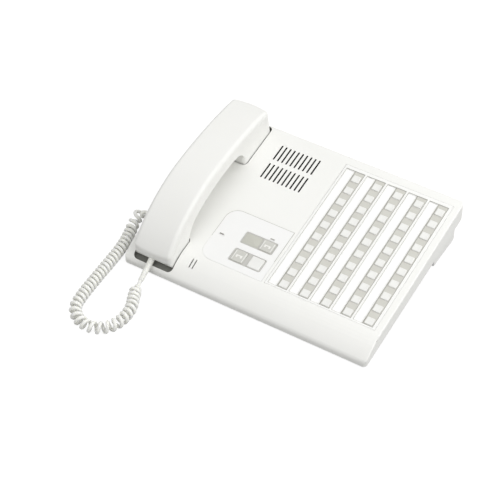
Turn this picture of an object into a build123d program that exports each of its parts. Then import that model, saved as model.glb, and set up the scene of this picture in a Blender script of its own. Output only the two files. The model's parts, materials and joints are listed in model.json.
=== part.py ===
import os
from math import cos, dist, pi, radians, sin, sqrt, tan
from build123d import *

# Desk intercom master station: a thin sloping housing on a rear leg, a handset lying in two wells,
# a bank of fifty call keys with name strips, and a curly cord. Millimetres, +Z up, resting on Z = 0.
# Positions on the deck are given as (across, along): across from the left side of the housing,
# along from its front edge, up the slope. Heights are measured square to the deck.

os.makedirs("parts", exist_ok=True)

# Slopes and heights of the housing
deck_angle = 9.574
deck_front_height = 19.84
underside_angle = 8.515
underside_front_height = 1.93
wall = 2.5
fit = 0.2

# Front curve, front lip and back of the housing
front_curve_length = 33.0
front_curve_radius = 61.0
lip_radius = 7.0
back_upright = 10.0
back_lean = 5.2
front_corner_radius = 4.5
back_corner_radius = 6.0
deck_edge_radius = 1.6

# Layout across the deck
handset_side_margin = 11.0
handset_width = 48.0
handset_to_plate = 18.0
plate_width = 80.6
plate_to_frame = 3.8
frame_left_border = 2.75
strip_width = 11.35
band_width = 12.5
column_rib = 2.31
column_count = 5
frame_right_border = 3.65
right_margin = 8.2

# Layout along the deck
frame_front_margin = 33.5
frame_front_border = 2.1
key_front_margin = 1.3
key_width = 9.3
key_length = 9.1
key_pitch = 18.0
key_rows = 10
key_back_margin = 5.8
frame_back_border = 4.05
frame_back_margin = 11.8

column_pitch = strip_width + band_width + column_rib
column_width = strip_width + band_width
frame_width = frame_left_border + column_count * column_pitch - column_rib + frame_right_border
window_length = key_front_margin + (key_rows - 1) * key_pitch + key_length + key_back_margin
frame_length = frame_front_border + window_length + frame_back_border
plate_left = handset_side_margin + handset_width + handset_to_plate
frame_left = plate_left + plate_width + plate_to_frame
base_width = frame_left + frame_width + right_margin
deck_length = frame_front_margin + frame_length + frame_back_margin
half_width = base_width / 2
front_y = -deck_length * cos(radians(deck_angle)) / 2

# Selector sandwich, heights below the deck
frame_thickness = 1.6
frame_ledge = 2.0
frame_corner_radius = 1.0
tray_flange = 1.5
tray_overlap = 2.0
band_thickness = 1.0
card_thickness = 0.3
strip_cover_thickness = 0.9
key_gap = 0.2
key_rise = 0.5
key_flange_thickness = 0.9
key_flange_overhang = 0.9
key_stop_gap = 0.3
key_chamfer = 0.5
key_travel = 1.2
key_bottom_gap = 0.2
contact_sheet_thickness = 1.0
board_thickness = 1.6
boss_radius = 3.0
screw_radius = 1.4
screw_head_radius = 2.6
screw_head_height = 1.6
board_screw_grip = 2.0

tray_bottom = -wall - tray_flange
key_flange_top = tray_bottom - key_stop_gap
key_bottom = key_flange_top - key_flange_thickness
sheet_top = key_bottom - key_travel - key_bottom_gap
board_top = sheet_top - contact_sheet_thickness
board_bottom = board_top - board_thickness

# Control plate with its two pockets and its lamps
plate_front_margin = 32.8
plate_thickness = 0.6
plate_left_radius = 15.0
control_board_inset = 4.0
pad_inset = 1.0
pocket_right_margin = 7.6
pocket_width = 40.5
lower_pocket_margin = 9.2
lower_pocket_length = 18.0
pocket_gap = 8.0
upper_pocket_length = 17.0
plate_back_margin = 21.5
pocket_radius = 2.0
control_key_width = 15.0
control_key_rim = 1.4
left_key_margin = 2.4
control_key_side_margin = 2.0
display_margin = 1.6
display_to_key = 1.9
bezel_drop = 0.3
lens_thickness = 1.2
lens_lip = 1.0
bezel_overlap = 3.0
control_key_rise = 0.6
lamp_width = 6.4
lamp_length = 2.8
lamp_rise = 0.3
lamp_flange = 0.8
call_lamp_from_pocket = 2.5
power_lamp_from_left = 9.2
power_lamp_from_front = 36.0

plate_length = (lower_pocket_margin + lower_pocket_length + pocket_gap + upper_pocket_length
                + plate_back_margin)

# Speaker and its slots
speaker_from_plate_left = 31.0
speaker_from_back = 46.2
slot_count = 10
slot_pitch = 5.46
slot_width = 1.9
slot_length = 22.7
slot_row_gap = 5.9
cloth_thickness = 0.4
cloth_margin = 4.0
speaker_radius = 27.0
speaker_flange = 1.0
speaker_depth = 9.5
magnet_radius = 13.0
magnet_height = 4.5
basket_rim = 3.0
basket_metal = 0.8
cone_edge = 1.5
cone_paper = 0.6
cone_cap_radius = 7.0
cone_cap_rise = 2.0
cone_lift = 3.0

# Microphone slots beside the handset
mic_from_handset = 17.2
mic_from_front = 20.3
mic_slot_gap = 4.0
mic_slot_length = 11.5
mic_slot_width = 1.5
mic_radius = 5.0
mic_height = 4.5
mic_boot_wall = 1.2
mic_drop = 1.8

# Small service hole in the deck, under the grip of the handset
service_hole_radius = 1.3
service_hole_from_left = 42.4
service_hole_from_front = 148.8

# Handset, heights from the deck plane
handset_front_margin = 4.5
handset_back_margin = 3.0
crown_height = 47.8
crown_from_front = 106.0
nose_height = 10.0
nose_run = 32.0
nose_top_height = 33.0
tail_height = 31.0
tail_run = 20.0
tail_top_height = 37.2
grip_thickness = 18.4
grip_crown_from_front = 121.0
mouth_cup_length = 40.5
mouth_cup_drop = 11.5
mouth_chin_drop = -0.5
mouth_chin_run = 6.0
ear_cup_length = 61.6
ear_cup_drop = 6.0
mouth_knee_run = 23.5
mouth_knee_drop = 7.0
mouth_heel_height = 4.0
mouth_heel_lean = 4.0
ear_knee_run = 15.0
ear_knee_drop = 2.0
ear_heel_height = 12.0
seam_drop = 10.0
handset_wall = 2.2
handset_edge_radius = 5.0
handset_corner_radius = 5.0
top_face_rise = 0.4
nose_bulge = 1.5
tail_bulge = 3.6
well_clearance = 1.0
mouth_well_lead = 3.0
mouth_well_tail = 3.0
ear_well_tail = 0.85
well_floor = 2.0
cup_clearance = 0.3
well_corner_radius = 5.5
cup_corner_radius = 4.0
capsule_height = 8.0
capsule_step = 2.0
receiver_radius = 17.0
receiver_inset = 24.0
transmitter_radius = 9.5
transmitter_inset = 19.0
shell_post_radius = 4.2
shell_screw_length = 9.0
mouth_screw_inset = 33.0
mouth_screw_seat = 19.0
ear_screw_inset = 5.6
ear_screw_seat = 14.0
sound_hole_radius = 1.0
sound_ring_radius = 4.5
sound_hole_count = 6

# Hook plunger in the ear well, and the switch that it works
plunger_from_back = 15.0
plunger_flange = 1.5
switch_width = 14.0
switch_length = 8.0
switch_height = 6.0
bracket_metal = 1.0
bracket_ear = 6.0
plunger_width = 8.4
plunger_length = 4.4
plunger_travel = 4.0
plunger_gap = 0.2

# Screw posts of the case
post_radius = 3.6
post_clearance = 1.5
post_from_front = 20.0
post_from_side = 18.0

# Base plate, rear leg and feet
screw_sink = 1.2
case_screw_length = 7.0
foot_side_margin = 14.0
foot_front_margin = 14.0
leg_inset = 6.0
leg_front_from_back = 56.0
leg_back_inset = 0.4
rear_foot_height = 2.0
foot_radius = 5.5
foot_margin = 0.5

# Main board, its parts and the line connector in the leg
main_board_from_front = 96.0
main_board_length = 46.0
standoff_height = 3.0
connector_width = 64.0
connector_height = 11.0
connector_depth = 12.0
connector_z = 16.0
connector_rim = 2.5
connector_flange = 3.0
standoff_inset = 4.0
board_part_height = 5.0
chip_pitch = 24.0
chip_width = 14.0
chip_length = 20.0
can_radius = 3.5

# Cord socket in the left side, cord and its ends
socket_from_front = 61.0
socket_width = 12.0
socket_height = 10.0
socket_depth = 14.0
socket_drop = 9.5
socket_wall = 1.6
plug_stand = 5.0
wire_diameter = 4.2
curl_diameter = 14.6
plug_radius = 1.0
curl_pitch = 5.6
bend_opening = 70.0
bend_window = 12.0
curl_grow = 3.2
cord_sides = 4
cord_end_gap = 0.3
cord_lead = 9.0
end_opening = 1.6
cord_floor_gap = 0.2
gap_samples = 1300
own_turn_share = 0.7
corner_share = 0.45
heading_step = 0.01

# Boot of the cord on the mouth end of the handset
boot_root_radius = 3.6
boot_tip_radius = 2.9
boot_length = 27.0
boot_flange = 1.2
boot_flange_height = 5.6
boot_groove_share = 0.5
boot_shift = 2.0
boot_drop = 5.0
boot_seat_gap = 3.8
boot_heading = (3, -24, -6.2)
boot_rib_count = 7
boot_groove_depth = 0.5


def deck_point(along, height=0.0):
    """Y and Z of a place on the middle line of the deck, height square to it."""
    slope = radians(deck_angle)
    return (front_y + along * cos(slope) - height * sin(slope),
            deck_front_height + along * sin(slope) + height * cos(slope))


def underside_z(y):
    return underside_front_height + (y - front_y) * tan(radians(underside_angle))


def deck_z(y, height=0.0):
    return deck_front_height + (y - front_y) * tan(radians(deck_angle)) + height / cos(radians(deck_angle))


def front_curve_drop(along):
    """How far the curved front of the cover lies under the deck's plane."""
    return front_curve_radius - sqrt(front_curve_radius ** 2 - (front_curve_length - along) ** 2)


deck = Plane(origin=(-half_width, front_y, deck_front_height), x_dir=(1, 0, 0),
             z_dir=(0, -sin(radians(deck_angle)), cos(radians(deck_angle))))
underside = Plane(origin=(-half_width, front_y, underside_front_height), x_dir=(1, 0, 0),
                  z_dir=(0, -sin(radians(underside_angle)), cos(radians(underside_angle))))
back_y = deck_point(deck_length)[0]


def write(part, name):
    part.label = name
    export_step(part, f"parts/{name}.step")


def slab_outline(inset):
    """Side outline of the housing, moved in by inset everywhere but at its open underside."""
    front = front_y + inset
    back = back_y - inset
    curve = front_curve_radius - inset
    lip = lip_radius - inset
    centre_y, centre_z = deck_point(front_curve_length, -front_curve_radius)
    lip_y = front + lip
    lip_z = centre_z + sqrt((curve - lip) ** 2 - (lip_y - centre_y) ** 2)
    reach = curve / (curve - lip)
    meet = (centre_y + (lip_y - centre_y) * reach, centre_z + (lip_z - centre_z) * reach)
    knee_y, knee_z = deck_point(front_curve_length, -inset)
    upright_z = deck_z(back_y) - back_upright
    heel_y = back - back_lean
    Line((back, deck_z(back, -inset)), (knee_y, knee_z))
    RadiusArc((knee_y, knee_z), meet, -curve)
    RadiusArc(meet, (front, lip_z), -lip)
    Polyline((front, lip_z), (front, underside_z(front)), (heel_y, underside_z(heel_y)),
             (back, upright_z), (back, deck_z(back, -inset)))


# Wells for the two ends of the handset, as (left, right, front, back, depth)
handset_left = handset_side_margin
handset_right = handset_left + handset_width
handset_middle = handset_left + handset_width / 2
handset_front = handset_front_margin
handset_back = deck_length - handset_back_margin
ear_cup_front = handset_back - ear_cup_length
mouth_well = (handset_left - well_clearance, handset_right + well_clearance,
              handset_front - mouth_well_lead, handset_front + mouth_cup_length + mouth_well_tail,
              mouth_cup_drop + cup_clearance)
ear_well = (handset_left - well_clearance, handset_right + well_clearance,
            ear_cup_front - well_clearance, handset_back + ear_well_tail,
            ear_cup_drop + cup_clearance)
wells = [mouth_well, ear_well]


def well_sketch(well, grow):
    left, right, front, back, _ = well
    with Locations(((left + right) / 2, (front + back) / 2)):
        RectangleRounded(right - left + 2 * grow, back - front + 2 * grow, well_corner_radius + grow)


# Places across the deck that several pieces share
frame_front = frame_front_margin
window_front = frame_front + frame_front_border
frame_middle = (frame_left + frame_width / 2, frame_front + frame_length / 2)
opening_width = frame_width - 2 * frame_ledge
opening_length = frame_length - 2 * frame_ledge
window_lefts = [frame_left + frame_left_border + n * column_pitch for n in range(column_count)]
window_middles = [left + column_width / 2 for left in window_lefts]
strip_middles = [left + strip_width / 2 for left in window_lefts]
band_middles = [left + strip_width + band_width / 2 for left in window_lefts]
window_along = window_front + window_length / 2
first_key = window_front + key_front_margin + key_length / 2
key_rows_along = [first_key + row * key_pitch for row in range(key_rows)]
plate_middle = (plate_left + plate_width / 2, plate_front_margin + plate_length / 2)
pocket_middle = plate_left + plate_width - pocket_right_margin - pocket_width / 2
lower_pocket = (pocket_middle, plate_front_margin + lower_pocket_margin + lower_pocket_length / 2)
pocket_bridge = lower_pocket[1] + lower_pocket_length / 2 + pocket_gap / 2
upper_pocket = (pocket_middle, pocket_bridge + (pocket_gap + upper_pocket_length) / 2)
pockets = [(lower_pocket, lower_pocket_length), (upper_pocket, upper_pocket_length)]
right_key_across = pocket_middle + pocket_width / 2 - control_key_side_margin - control_key_width / 2
left_key_across = pocket_middle - pocket_width / 2 + left_key_margin + control_key_width / 2
control_keys = {
    "talk_key": (right_key_across, lower_pocket[1], lower_pocket_length - 2 * control_key_rim),
    "cancel_key": (left_key_across, lower_pocket[1], lower_pocket_length - 2 * control_key_rim),
    "handset_key": (right_key_across, upper_pocket[1], upper_pocket_length - 2 * control_key_rim),
}
display_width = (pocket_width - display_margin - display_to_key - control_key_width
                 - control_key_side_margin)
display_place = (pocket_middle - pocket_width / 2 + display_margin + display_width / 2, upper_pocket[1])
display_length = upper_pocket_length - 2 * display_margin
bezel_posts = [(pocket_middle + side * (pocket_width / 2 - boss_radius), pocket_bridge)
               for side in (-1, 1)]
call_lamp = (right_key_across, upper_pocket[1] + upper_pocket_length / 2 + call_lamp_from_pocket)
power_lamp = (plate_left + power_lamp_from_left, plate_front_margin + power_lamp_from_front)
lamps = [call_lamp, power_lamp]
speaker_place = (plate_left + speaker_from_plate_left, deck_length - speaker_from_back)
mic_place = (handset_right + mic_from_handset + mic_slot_gap / 2, mic_from_front)

plunger_place = (handset_middle, handset_back - plunger_from_back)
socket_y, socket_z = deck_point(socket_from_front, -socket_drop)
socket_plane = Plane(origin=(-half_width, socket_y, socket_z), x_dir=deck.y_dir, z_dir=(-1, 0, 0))

# Screw posts between the deck and the base plate, clear of the wells, the frame and the leg
post_left = handset_right + well_clearance + well_floor + post_radius + post_clearance
post_right = frame_left - post_radius - 2 * post_clearance
post_behind = deck_length - leg_front_from_back - 2 * post_radius
post_places = [(post_left, mouth_well[3]), (post_left, post_behind), (post_right, post_behind),
               (post_right, post_from_front), (base_width - post_from_side, post_from_front)]


def plate_outline(grow):
    """Outline of the control plate, with big corners at the left."""
    left = plate_left - grow
    right = plate_left + plate_width + grow
    front = plate_front_margin - grow
    back = plate_front_margin + plate_length + grow
    FilletPolyline((right, front), (left, front), (left, back), (right, back), radius=plate_left_radius)
    Line((right, back), (right, front))


# Upper cover: outside, then the space inside it, then its openings
with BuildPart() as cover_space:
    with BuildSketch(Plane.YZ):
        with BuildLine():
            slab_outline(wall)
        make_face()
    extrude(amount=half_width - wall, both=True)
    for well in wells:
        with BuildSketch(deck):
            well_sketch(well, well_floor)
        extrude(amount=-well[4] - well_floor, mode=Mode.SUBTRACT)
    with BuildSketch(underside.offset(wall)):
        with Locations(*post_places):
            Circle(post_radius)
    extrude(amount=deck_length, mode=Mode.SUBTRACT)

with BuildPart() as upper_cover:
    with BuildSketch(Plane.YZ):
        with BuildLine():
            slab_outline(0)
        make_face()
    extrude(amount=half_width, both=True)
    deck_face = upper_cover.faces().filter_by(deck).sort_by(SortBy.AREA)[-1]
    fillet(deck_face.edges().sort_by(Axis.Y)[1:], deck_edge_radius)
    with BuildSketch(Plane.XY):
        Rectangle(base_width, back_y - front_y)
        fillet(vertices().group_by(Axis.Y)[0], front_corner_radius)
        fillet(vertices().group_by(Axis.Y)[-1], back_corner_radius)
    extrude(amount=deck_length, mode=Mode.INTERSECT)
    add(cover_space.part, mode=Mode.SUBTRACT)
    for well in wells:
        with BuildSketch(deck.offset(crown_height)):
            well_sketch(well, 0)
        extrude(amount=-well[4] - crown_height, mode=Mode.SUBTRACT)
    # Seat and window of the selector frame
    with BuildSketch(deck):
        with Locations(frame_middle):
            Rectangle(frame_width + 2 * fit, frame_length + 2 * fit)
    extrude(amount=-frame_thickness, mode=Mode.SUBTRACT)
    with BuildSketch(deck):
        with Locations(frame_middle):
            Rectangle(opening_width, opening_length)
    extrude(amount=-wall, mode=Mode.SUBTRACT)
    # Seat of the control plate, its two pockets and the lamp slots
    with BuildSketch(deck):
        with BuildLine():
            plate_outline(fit)
        make_face()
    extrude(amount=-plate_thickness, mode=Mode.SUBTRACT)
    with BuildSketch(deck):
        for place, length in pockets:
            with Locations(place):
                RectangleRounded(pocket_width, length, pocket_radius)
        with Locations(*lamps):
            Rectangle(lamp_width + fit, lamp_length + fit)
    extrude(amount=-wall, mode=Mode.SUBTRACT)
    # Pilot holes in the screw posts, and the window of the cord socket in the left side
    with BuildSketch(underside.offset(wall)):
        with Locations(*post_places):
            Circle(screw_radius)
    extrude(amount=case_screw_length, mode=Mode.SUBTRACT)
    with BuildSketch(socket_plane):
        Rectangle(socket_width + 2 * fit, socket_height + 2 * fit)
    extrude(amount=-wall, mode=Mode.SUBTRACT)
    # Slot for the hook plunger in the floor of the ear well
    with BuildSketch(deck.offset(-ear_well[4])):
        with Locations(plunger_place):
            Rectangle(plunger_width + 2 * plunger_gap, plunger_length + 2 * plunger_gap)
    extrude(amount=-well_floor, mode=Mode.SUBTRACT)
    # Speaker slots in two rows
    with BuildSketch(deck):
        with Locations(speaker_place):
            with GridLocations(slot_pitch, slot_length + slot_row_gap, slot_count, 2):
                SlotOverall(slot_length, slot_width, rotation=90)
    extrude(amount=-wall, mode=Mode.SUBTRACT)
    # Service hole
    with BuildSketch(deck):
        with Locations((service_hole_from_left, service_hole_from_front)):
            Circle(service_hole_radius)
    extrude(amount=-wall, mode=Mode.SUBTRACT)
    # Microphone slots
    with BuildSketch(deck):
        with Locations(mic_place):
            with GridLocations(mic_slot_gap, 1, 2, 1):
                SlotOverall(mic_slot_length, mic_slot_width, rotation=90)
    extrude(amount=-mic_height - wall, mode=Mode.SUBTRACT)
write(upper_cover.part, "upper_cover")

# Selector frame: five windows, each for a name strip and its column of keys
with BuildPart() as selector_frame:
    with BuildSketch(deck.offset(-frame_thickness)):
        with Locations(frame_middle):
            RectangleRounded(frame_width, frame_length, frame_corner_radius)
        for across in window_middles:
            with Locations((across, window_along)):
                Rectangle(column_width, window_length, mode=Mode.SUBTRACT)
    extrude(amount=frame_thickness)
write(selector_frame.part, "selector_frame")

# Selector tray: carries strips, bands and the key board; its flange lies under the cover
tray_posts = [(strip_middles[n], key_rows_along[row])
              for n in (0, column_count // 2, column_count - 1) for row in (1, key_rows - 2)]
with BuildPart() as selector_tray:
    with BuildSketch(deck.offset(tray_bottom)):
        with Locations(frame_middle):
            Rectangle(opening_width + 2 * tray_overlap, opening_length + 2 * tray_overlap)
    extrude(amount=tray_flange)
    with BuildSketch(deck.offset(tray_bottom)):
        with Locations(frame_middle):
            Rectangle(opening_width - 2 * fit, opening_length - 2 * fit)
    extrude(amount=-frame_thickness - tray_bottom)
    with BuildSketch(deck.offset(tray_bottom)):
        with Locations(*[(across, along) for across in band_middles for along in key_rows_along]):
            Rectangle(key_width + 2 * key_gap, key_length + 2 * key_gap)
    extrude(amount=-tray_bottom, mode=Mode.SUBTRACT)
    with BuildSketch(deck.offset(board_top)):
        with Locations(*tray_posts):
            Circle(boss_radius)
    extrude(amount=tray_bottom - board_top)
    with BuildSketch(deck.offset(board_top)):
        with Locations(*tray_posts):
            Circle(screw_radius)
    extrude(amount=tray_bottom - board_top, mode=Mode.SUBTRACT)
write(selector_tray.part, "selector_tray")

# Grey bands between the keys
with BuildPart() as key_bands:
    with BuildSketch(deck.offset(-frame_thickness)):
        with Locations(*[(across, window_along) for across in band_middles]):
            Rectangle(band_width - fit, window_length - fit)
        with Locations(*[(across, along) for across in band_middles for along in key_rows_along]):
            Rectangle(key_width + 2 * key_gap, key_length + 2 * key_gap, mode=Mode.SUBTRACT)
    extrude(amount=band_thickness)
write(key_bands.part, "key_bands")

# Blank name strips under clear covers
with BuildPart() as name_strips:
    with BuildSketch(deck.offset(-frame_thickness)):
        with Locations(*[(across, window_along) for across in strip_middles]):
            Rectangle(strip_width - fit, window_length - fit)
    extrude(amount=card_thickness)
write(name_strips.part, "name_strips")

with BuildPart() as strip_covers:
    with BuildSketch(deck.offset(card_thickness - frame_thickness)):
        with Locations(*[(across, window_along) for across in strip_middles]):
            Rectangle(strip_width - fit, window_length - fit)
    extrude(amount=strip_cover_thickness)
write(strip_covers.part, "strip_covers")


def build_keys(places, width, length, rise):
    """Keys with a flange that stops them under their tray."""
    with BuildPart() as keys:
        with BuildSketch(deck.offset(key_bottom)):
            with Locations(*places):
                Rectangle(width + 2 * key_flange_overhang, length + 2 * key_flange_overhang)
        extrude(amount=key_flange_thickness)
        with BuildSketch(deck.offset(key_flange_top)):
            with Locations(*places):
                Rectangle(width, length)
        extrude(amount=rise - key_flange_top)
        tops = keys.faces().group_by(Axis(deck.origin, deck.z_dir))[-1]
        chamfer(tops.edges(), key_chamfer)
    return keys


for n in range(column_count):
    places = [(band_middles[n], along) for along in key_rows_along]
    column = build_keys(places, key_width, key_length, key_rise)
    write(column.part, f"call_keys_{n + 1}")

# Rubber sheet and board under the call keys, held to the tray by six screws
with BuildPart() as key_contact_sheet:
    with BuildSketch(deck.offset(board_top)):
        with Locations(frame_middle):
            Rectangle(opening_width, opening_length)
        with Locations(*tray_posts):
            Circle(boss_radius + fit, mode=Mode.SUBTRACT)
    extrude(amount=contact_sheet_thickness)
write(key_contact_sheet.part, "key_contact_sheet")

with BuildPart() as key_board:
    with BuildSketch(deck.offset(board_bottom)):
        with Locations(frame_middle):
            Rectangle(opening_width, opening_length)
        with Locations(*tray_posts):
            Circle(screw_radius + fit, mode=Mode.SUBTRACT)
    extrude(amount=board_thickness)
write(key_board.part, "key_board")


def build_screws(plane, places, length, head_radius=screw_head_radius, head_height=screw_head_height):
    """Pan-head screws that point along the plane's normal, heads under the plane."""
    with BuildPart() as screws:
        with BuildSketch(plane):
            with Locations(*places):
                Circle(head_radius)
        extrude(amount=-head_height)
        with BuildSketch(plane):
            with Locations(*places):
                Circle(screw_radius)
        extrude(amount=length)
    return screws


board_screws = build_screws(deck.offset(board_bottom), tray_posts, board_thickness + board_screw_grip)
write(board_screws.part, "board_screws")

# Control plate
with BuildPart() as control_plate:
    with BuildSketch(deck.offset(-plate_thickness)):
        with BuildLine():
            plate_outline(0)
        make_face()
        for place, length in pockets:
            with Locations(place):
                RectangleRounded(pocket_width, length, pocket_radius, mode=Mode.SUBTRACT)
        with Locations(*lamps):
            Rectangle(lamp_width + fit, lamp_length + fit, mode=Mode.SUBTRACT)
    extrude(amount=plate_thickness)
write(control_plate.part, "control_plate")

# Grey bezel that fills both pockets and guides the three control keys
bezel_middle = (pocket_middle, (lower_pocket[1] + upper_pocket[1]) / 2)
bezel_length = upper_pocket[1] - lower_pocket[1] + (lower_pocket_length + upper_pocket_length) / 2
with BuildPart() as control_bezel:
    with BuildSketch(deck.offset(tray_bottom)):
        with Locations(bezel_middle):
            Rectangle(pocket_width + 2 * bezel_overlap, bezel_length + 2 * bezel_overlap)
        with Locations(call_lamp):
            Rectangle(lamp_width + 2 * bezel_overlap, lamp_length + 2 * bezel_overlap, mode=Mode.SUBTRACT)
    extrude(amount=tray_flange)
    with BuildSketch(deck.offset(tray_bottom)):
        for place, length in pockets:
            with Locations(place):
                RectangleRounded(pocket_width - 2 * fit, length - 2 * fit, pocket_radius - fit)
    extrude(amount=-tray_bottom - bezel_drop)
    with BuildSketch(deck.offset(tray_bottom)):
        for across, along, length in control_keys.values():
            with Locations((across, along)):
                Rectangle(control_key_width + 2 * key_gap, length + 2 * key_gap)
        with Locations(display_place):
            Rectangle(display_width - 2 * lens_lip, display_length - 2 * lens_lip)
    extrude(amount=-tray_bottom, mode=Mode.SUBTRACT)
    with BuildSketch(deck.offset(-bezel_drop)):
        with Locations(display_place):
            Rectangle(display_width, display_length)
    extrude(amount=-lens_thickness, mode=Mode.SUBTRACT)
    with BuildSketch(deck.offset(board_top)):
        with Locations(*bezel_posts):
            Circle(boss_radius)
    extrude(amount=tray_bottom - board_top)
    with BuildSketch(deck.offset(board_top)):
        with Locations(*bezel_posts):
            Circle(screw_radius)
    extrude(amount=tray_bottom - board_top, mode=Mode.SUBTRACT)
write(control_bezel.part, "control_bezel")

for name, (across, along, length) in control_keys.items():
    key = build_keys([(across, along)], control_key_width, length, control_key_rise)
    write(key.part, name)

# Smoked window and the display module behind it
with BuildPart() as display_window:
    with BuildSketch(deck.offset(-bezel_drop - lens_thickness)):
        with Locations(display_place):
            Rectangle(display_width - fit, display_length - fit)
    extrude(amount=lens_thickness)
write(display_window.part, "display_window")

with BuildPart() as display_module:
    with BuildSketch(deck.offset(board_top)):
        with Locations(display_place):
            Rectangle(display_width - 2 * lens_lip - 2 * fit, display_length - 2 * lens_lip - 2 * fit)
    extrude(amount=-bezel_drop - lens_thickness - fit - board_top)
write(display_module.part, "display_module")

# Lamp lenses, flanged under the cover, and the diodes that light them
with BuildPart() as lamp_lenses:
    with BuildSketch(deck.offset(-wall)):
        with Locations(*lamps):
            Rectangle(lamp_width, lamp_length)
    extrude(amount=wall + lamp_rise)
    with BuildSketch(deck.offset(-wall)):
        with Locations(*lamps):
            Rectangle(lamp_width + 2 * lamp_flange, lamp_length + 2 * lamp_flange)
    extrude(amount=-lamp_flange)
write(lamp_lenses.part, "lamp_lenses")

with BuildPart() as lamp_diodes:
    with BuildSketch(deck.offset(board_top)):
        with Locations(*lamps):
            Circle(lamp_length / 2)
    extrude(amount=-wall - lamp_flange - fit - board_top)
write(lamp_diodes.part, "lamp_diodes")

# Board under the control plate
control_board_left = plate_left + control_board_inset
control_board_right = frame_left - tray_overlap
control_board_front = plate_front_margin + control_board_inset
control_board_back = plate_front_margin + plate_length - 2 * control_board_inset
with BuildPart() as control_board:
    with BuildSketch(deck.offset(board_bottom)):
        with Locations(((control_board_left + control_board_right) / 2,
                        (control_board_front + control_board_back) / 2)):
            Rectangle(control_board_right - control_board_left, control_board_back - control_board_front)
        with Locations(*bezel_posts):
            Circle(screw_radius + fit, mode=Mode.SUBTRACT)
    extrude(amount=board_thickness)
write(control_board.part, "control_board")

control_screws = build_screws(deck.offset(board_bottom), bezel_posts, board_thickness + board_screw_grip)
write(control_screws.part, "control_board_screws")

with BuildPart() as control_key_pads:
    with BuildSketch(deck.offset(board_top)):
        for across, along, length in control_keys.values():
            with Locations((across, along)):
                Rectangle(control_key_width - 2 * pad_inset, length - 2 * pad_inset)
    extrude(amount=contact_sheet_thickness)
write(control_key_pads.part, "control_key_pads")

# Speaker behind the slots: cloth, steel basket with its magnet, paper cone
with BuildPart() as speaker_cloth:
    with BuildSketch(deck.offset(-wall - cloth_thickness)):
        with Locations(speaker_place):
            Rectangle(slot_pitch * slot_count + cloth_margin,
                      2 * slot_length + slot_row_gap + cloth_margin)
    extrude(amount=cloth_thickness)
write(speaker_cloth.part, "speaker_cloth")

cone_radius = speaker_radius - basket_rim
cone_rim = cone_radius - cone_edge
cone_foot = cone_lift - speaker_depth
speaker_plane = Plane(origin=deck.from_local_coords(Vector(*speaker_place, -wall - cloth_thickness)),
                      x_dir=(1, 0, 0), z_dir=deck.z_dir)
with BuildPart() as speaker_basket:
    with BuildSketch(Plane(origin=speaker_plane.origin, x_dir=(1, 0, 0), z_dir=-speaker_plane.y_dir)):
        with BuildLine():
            Polyline((cone_radius, 0), (speaker_radius, 0), (speaker_radius, -speaker_flange),
                     (cone_radius, -speaker_flange), (magnet_radius + basket_metal, -speaker_depth),
                     (magnet_radius, -speaker_depth), (magnet_radius, -speaker_depth - magnet_height),
                     (0, -speaker_depth - magnet_height), (0, -speaker_depth + basket_metal),
                     (magnet_radius, -speaker_depth + basket_metal),
                     (cone_radius - basket_metal, -speaker_flange), (cone_radius, 0))
        make_face()
    revolve(axis=Axis(speaker_plane.origin, speaker_plane.z_dir))
write(speaker_basket.part, "speaker_basket")

with BuildPart() as speaker_cone:
    with BuildSketch(Plane(origin=speaker_plane.origin, x_dir=(1, 0, 0), z_dir=-speaker_plane.y_dir)):
        with BuildLine():
            Polyline((cone_rim, -speaker_flange), (cone_rim, -speaker_flange - cone_paper),
                     (cone_cap_radius, cone_foot - cone_paper), (0, cone_foot + cone_cap_rise - cone_paper),
                     (0, cone_foot + cone_cap_rise), (cone_cap_radius, cone_foot),
                     (cone_rim, -speaker_flange))
        make_face()
    revolve(axis=Axis(speaker_plane.origin, speaker_plane.z_dir))
write(speaker_cone.part, "speaker_cone")

# Microphone capsule in its rubber boot, under the two slots
mic_y, mic_z = deck_point(mic_from_front, -front_curve_drop(mic_from_front) - wall - fit)
mic_plane = Plane(origin=(mic_place[0] - half_width, mic_y, mic_z), x_dir=(1, 0, 0), z_dir=underside.z_dir)
with BuildPart() as microphone_boot:
    with BuildSketch(mic_plane.offset(-mic_drop)):
        Circle(mic_radius + mic_boot_wall)
    extrude(amount=-mic_height)
    with BuildSketch(mic_plane.offset(-mic_drop)):
        Circle(mic_radius)
    extrude(amount=-mic_height + mic_boot_wall, mode=Mode.SUBTRACT)
write(microphone_boot.part, "microphone_boot")

with BuildPart() as microphone:
    with BuildSketch(mic_plane.offset(-mic_drop)):
        Circle(mic_radius - fit / 2)
    extrude(amount=-mic_height + mic_boot_wall)
write(microphone.part, "microphone")

# Base plate with the rear leg moulded onto it
leg_back = back_y - back_lean - leg_back_inset
leg_front = back_y - leg_front_from_back
leg_half = half_width - leg_inset


def leg_outline(inset, top):
    front = leg_front + inset
    back = leg_back - inset
    Polyline((front, rear_foot_height + inset), (back, rear_foot_height + inset),
             (back, underside_z(leg_back) + top), (front, underside_z(leg_front) + top),
             (front, rear_foot_height + inset))


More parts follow.
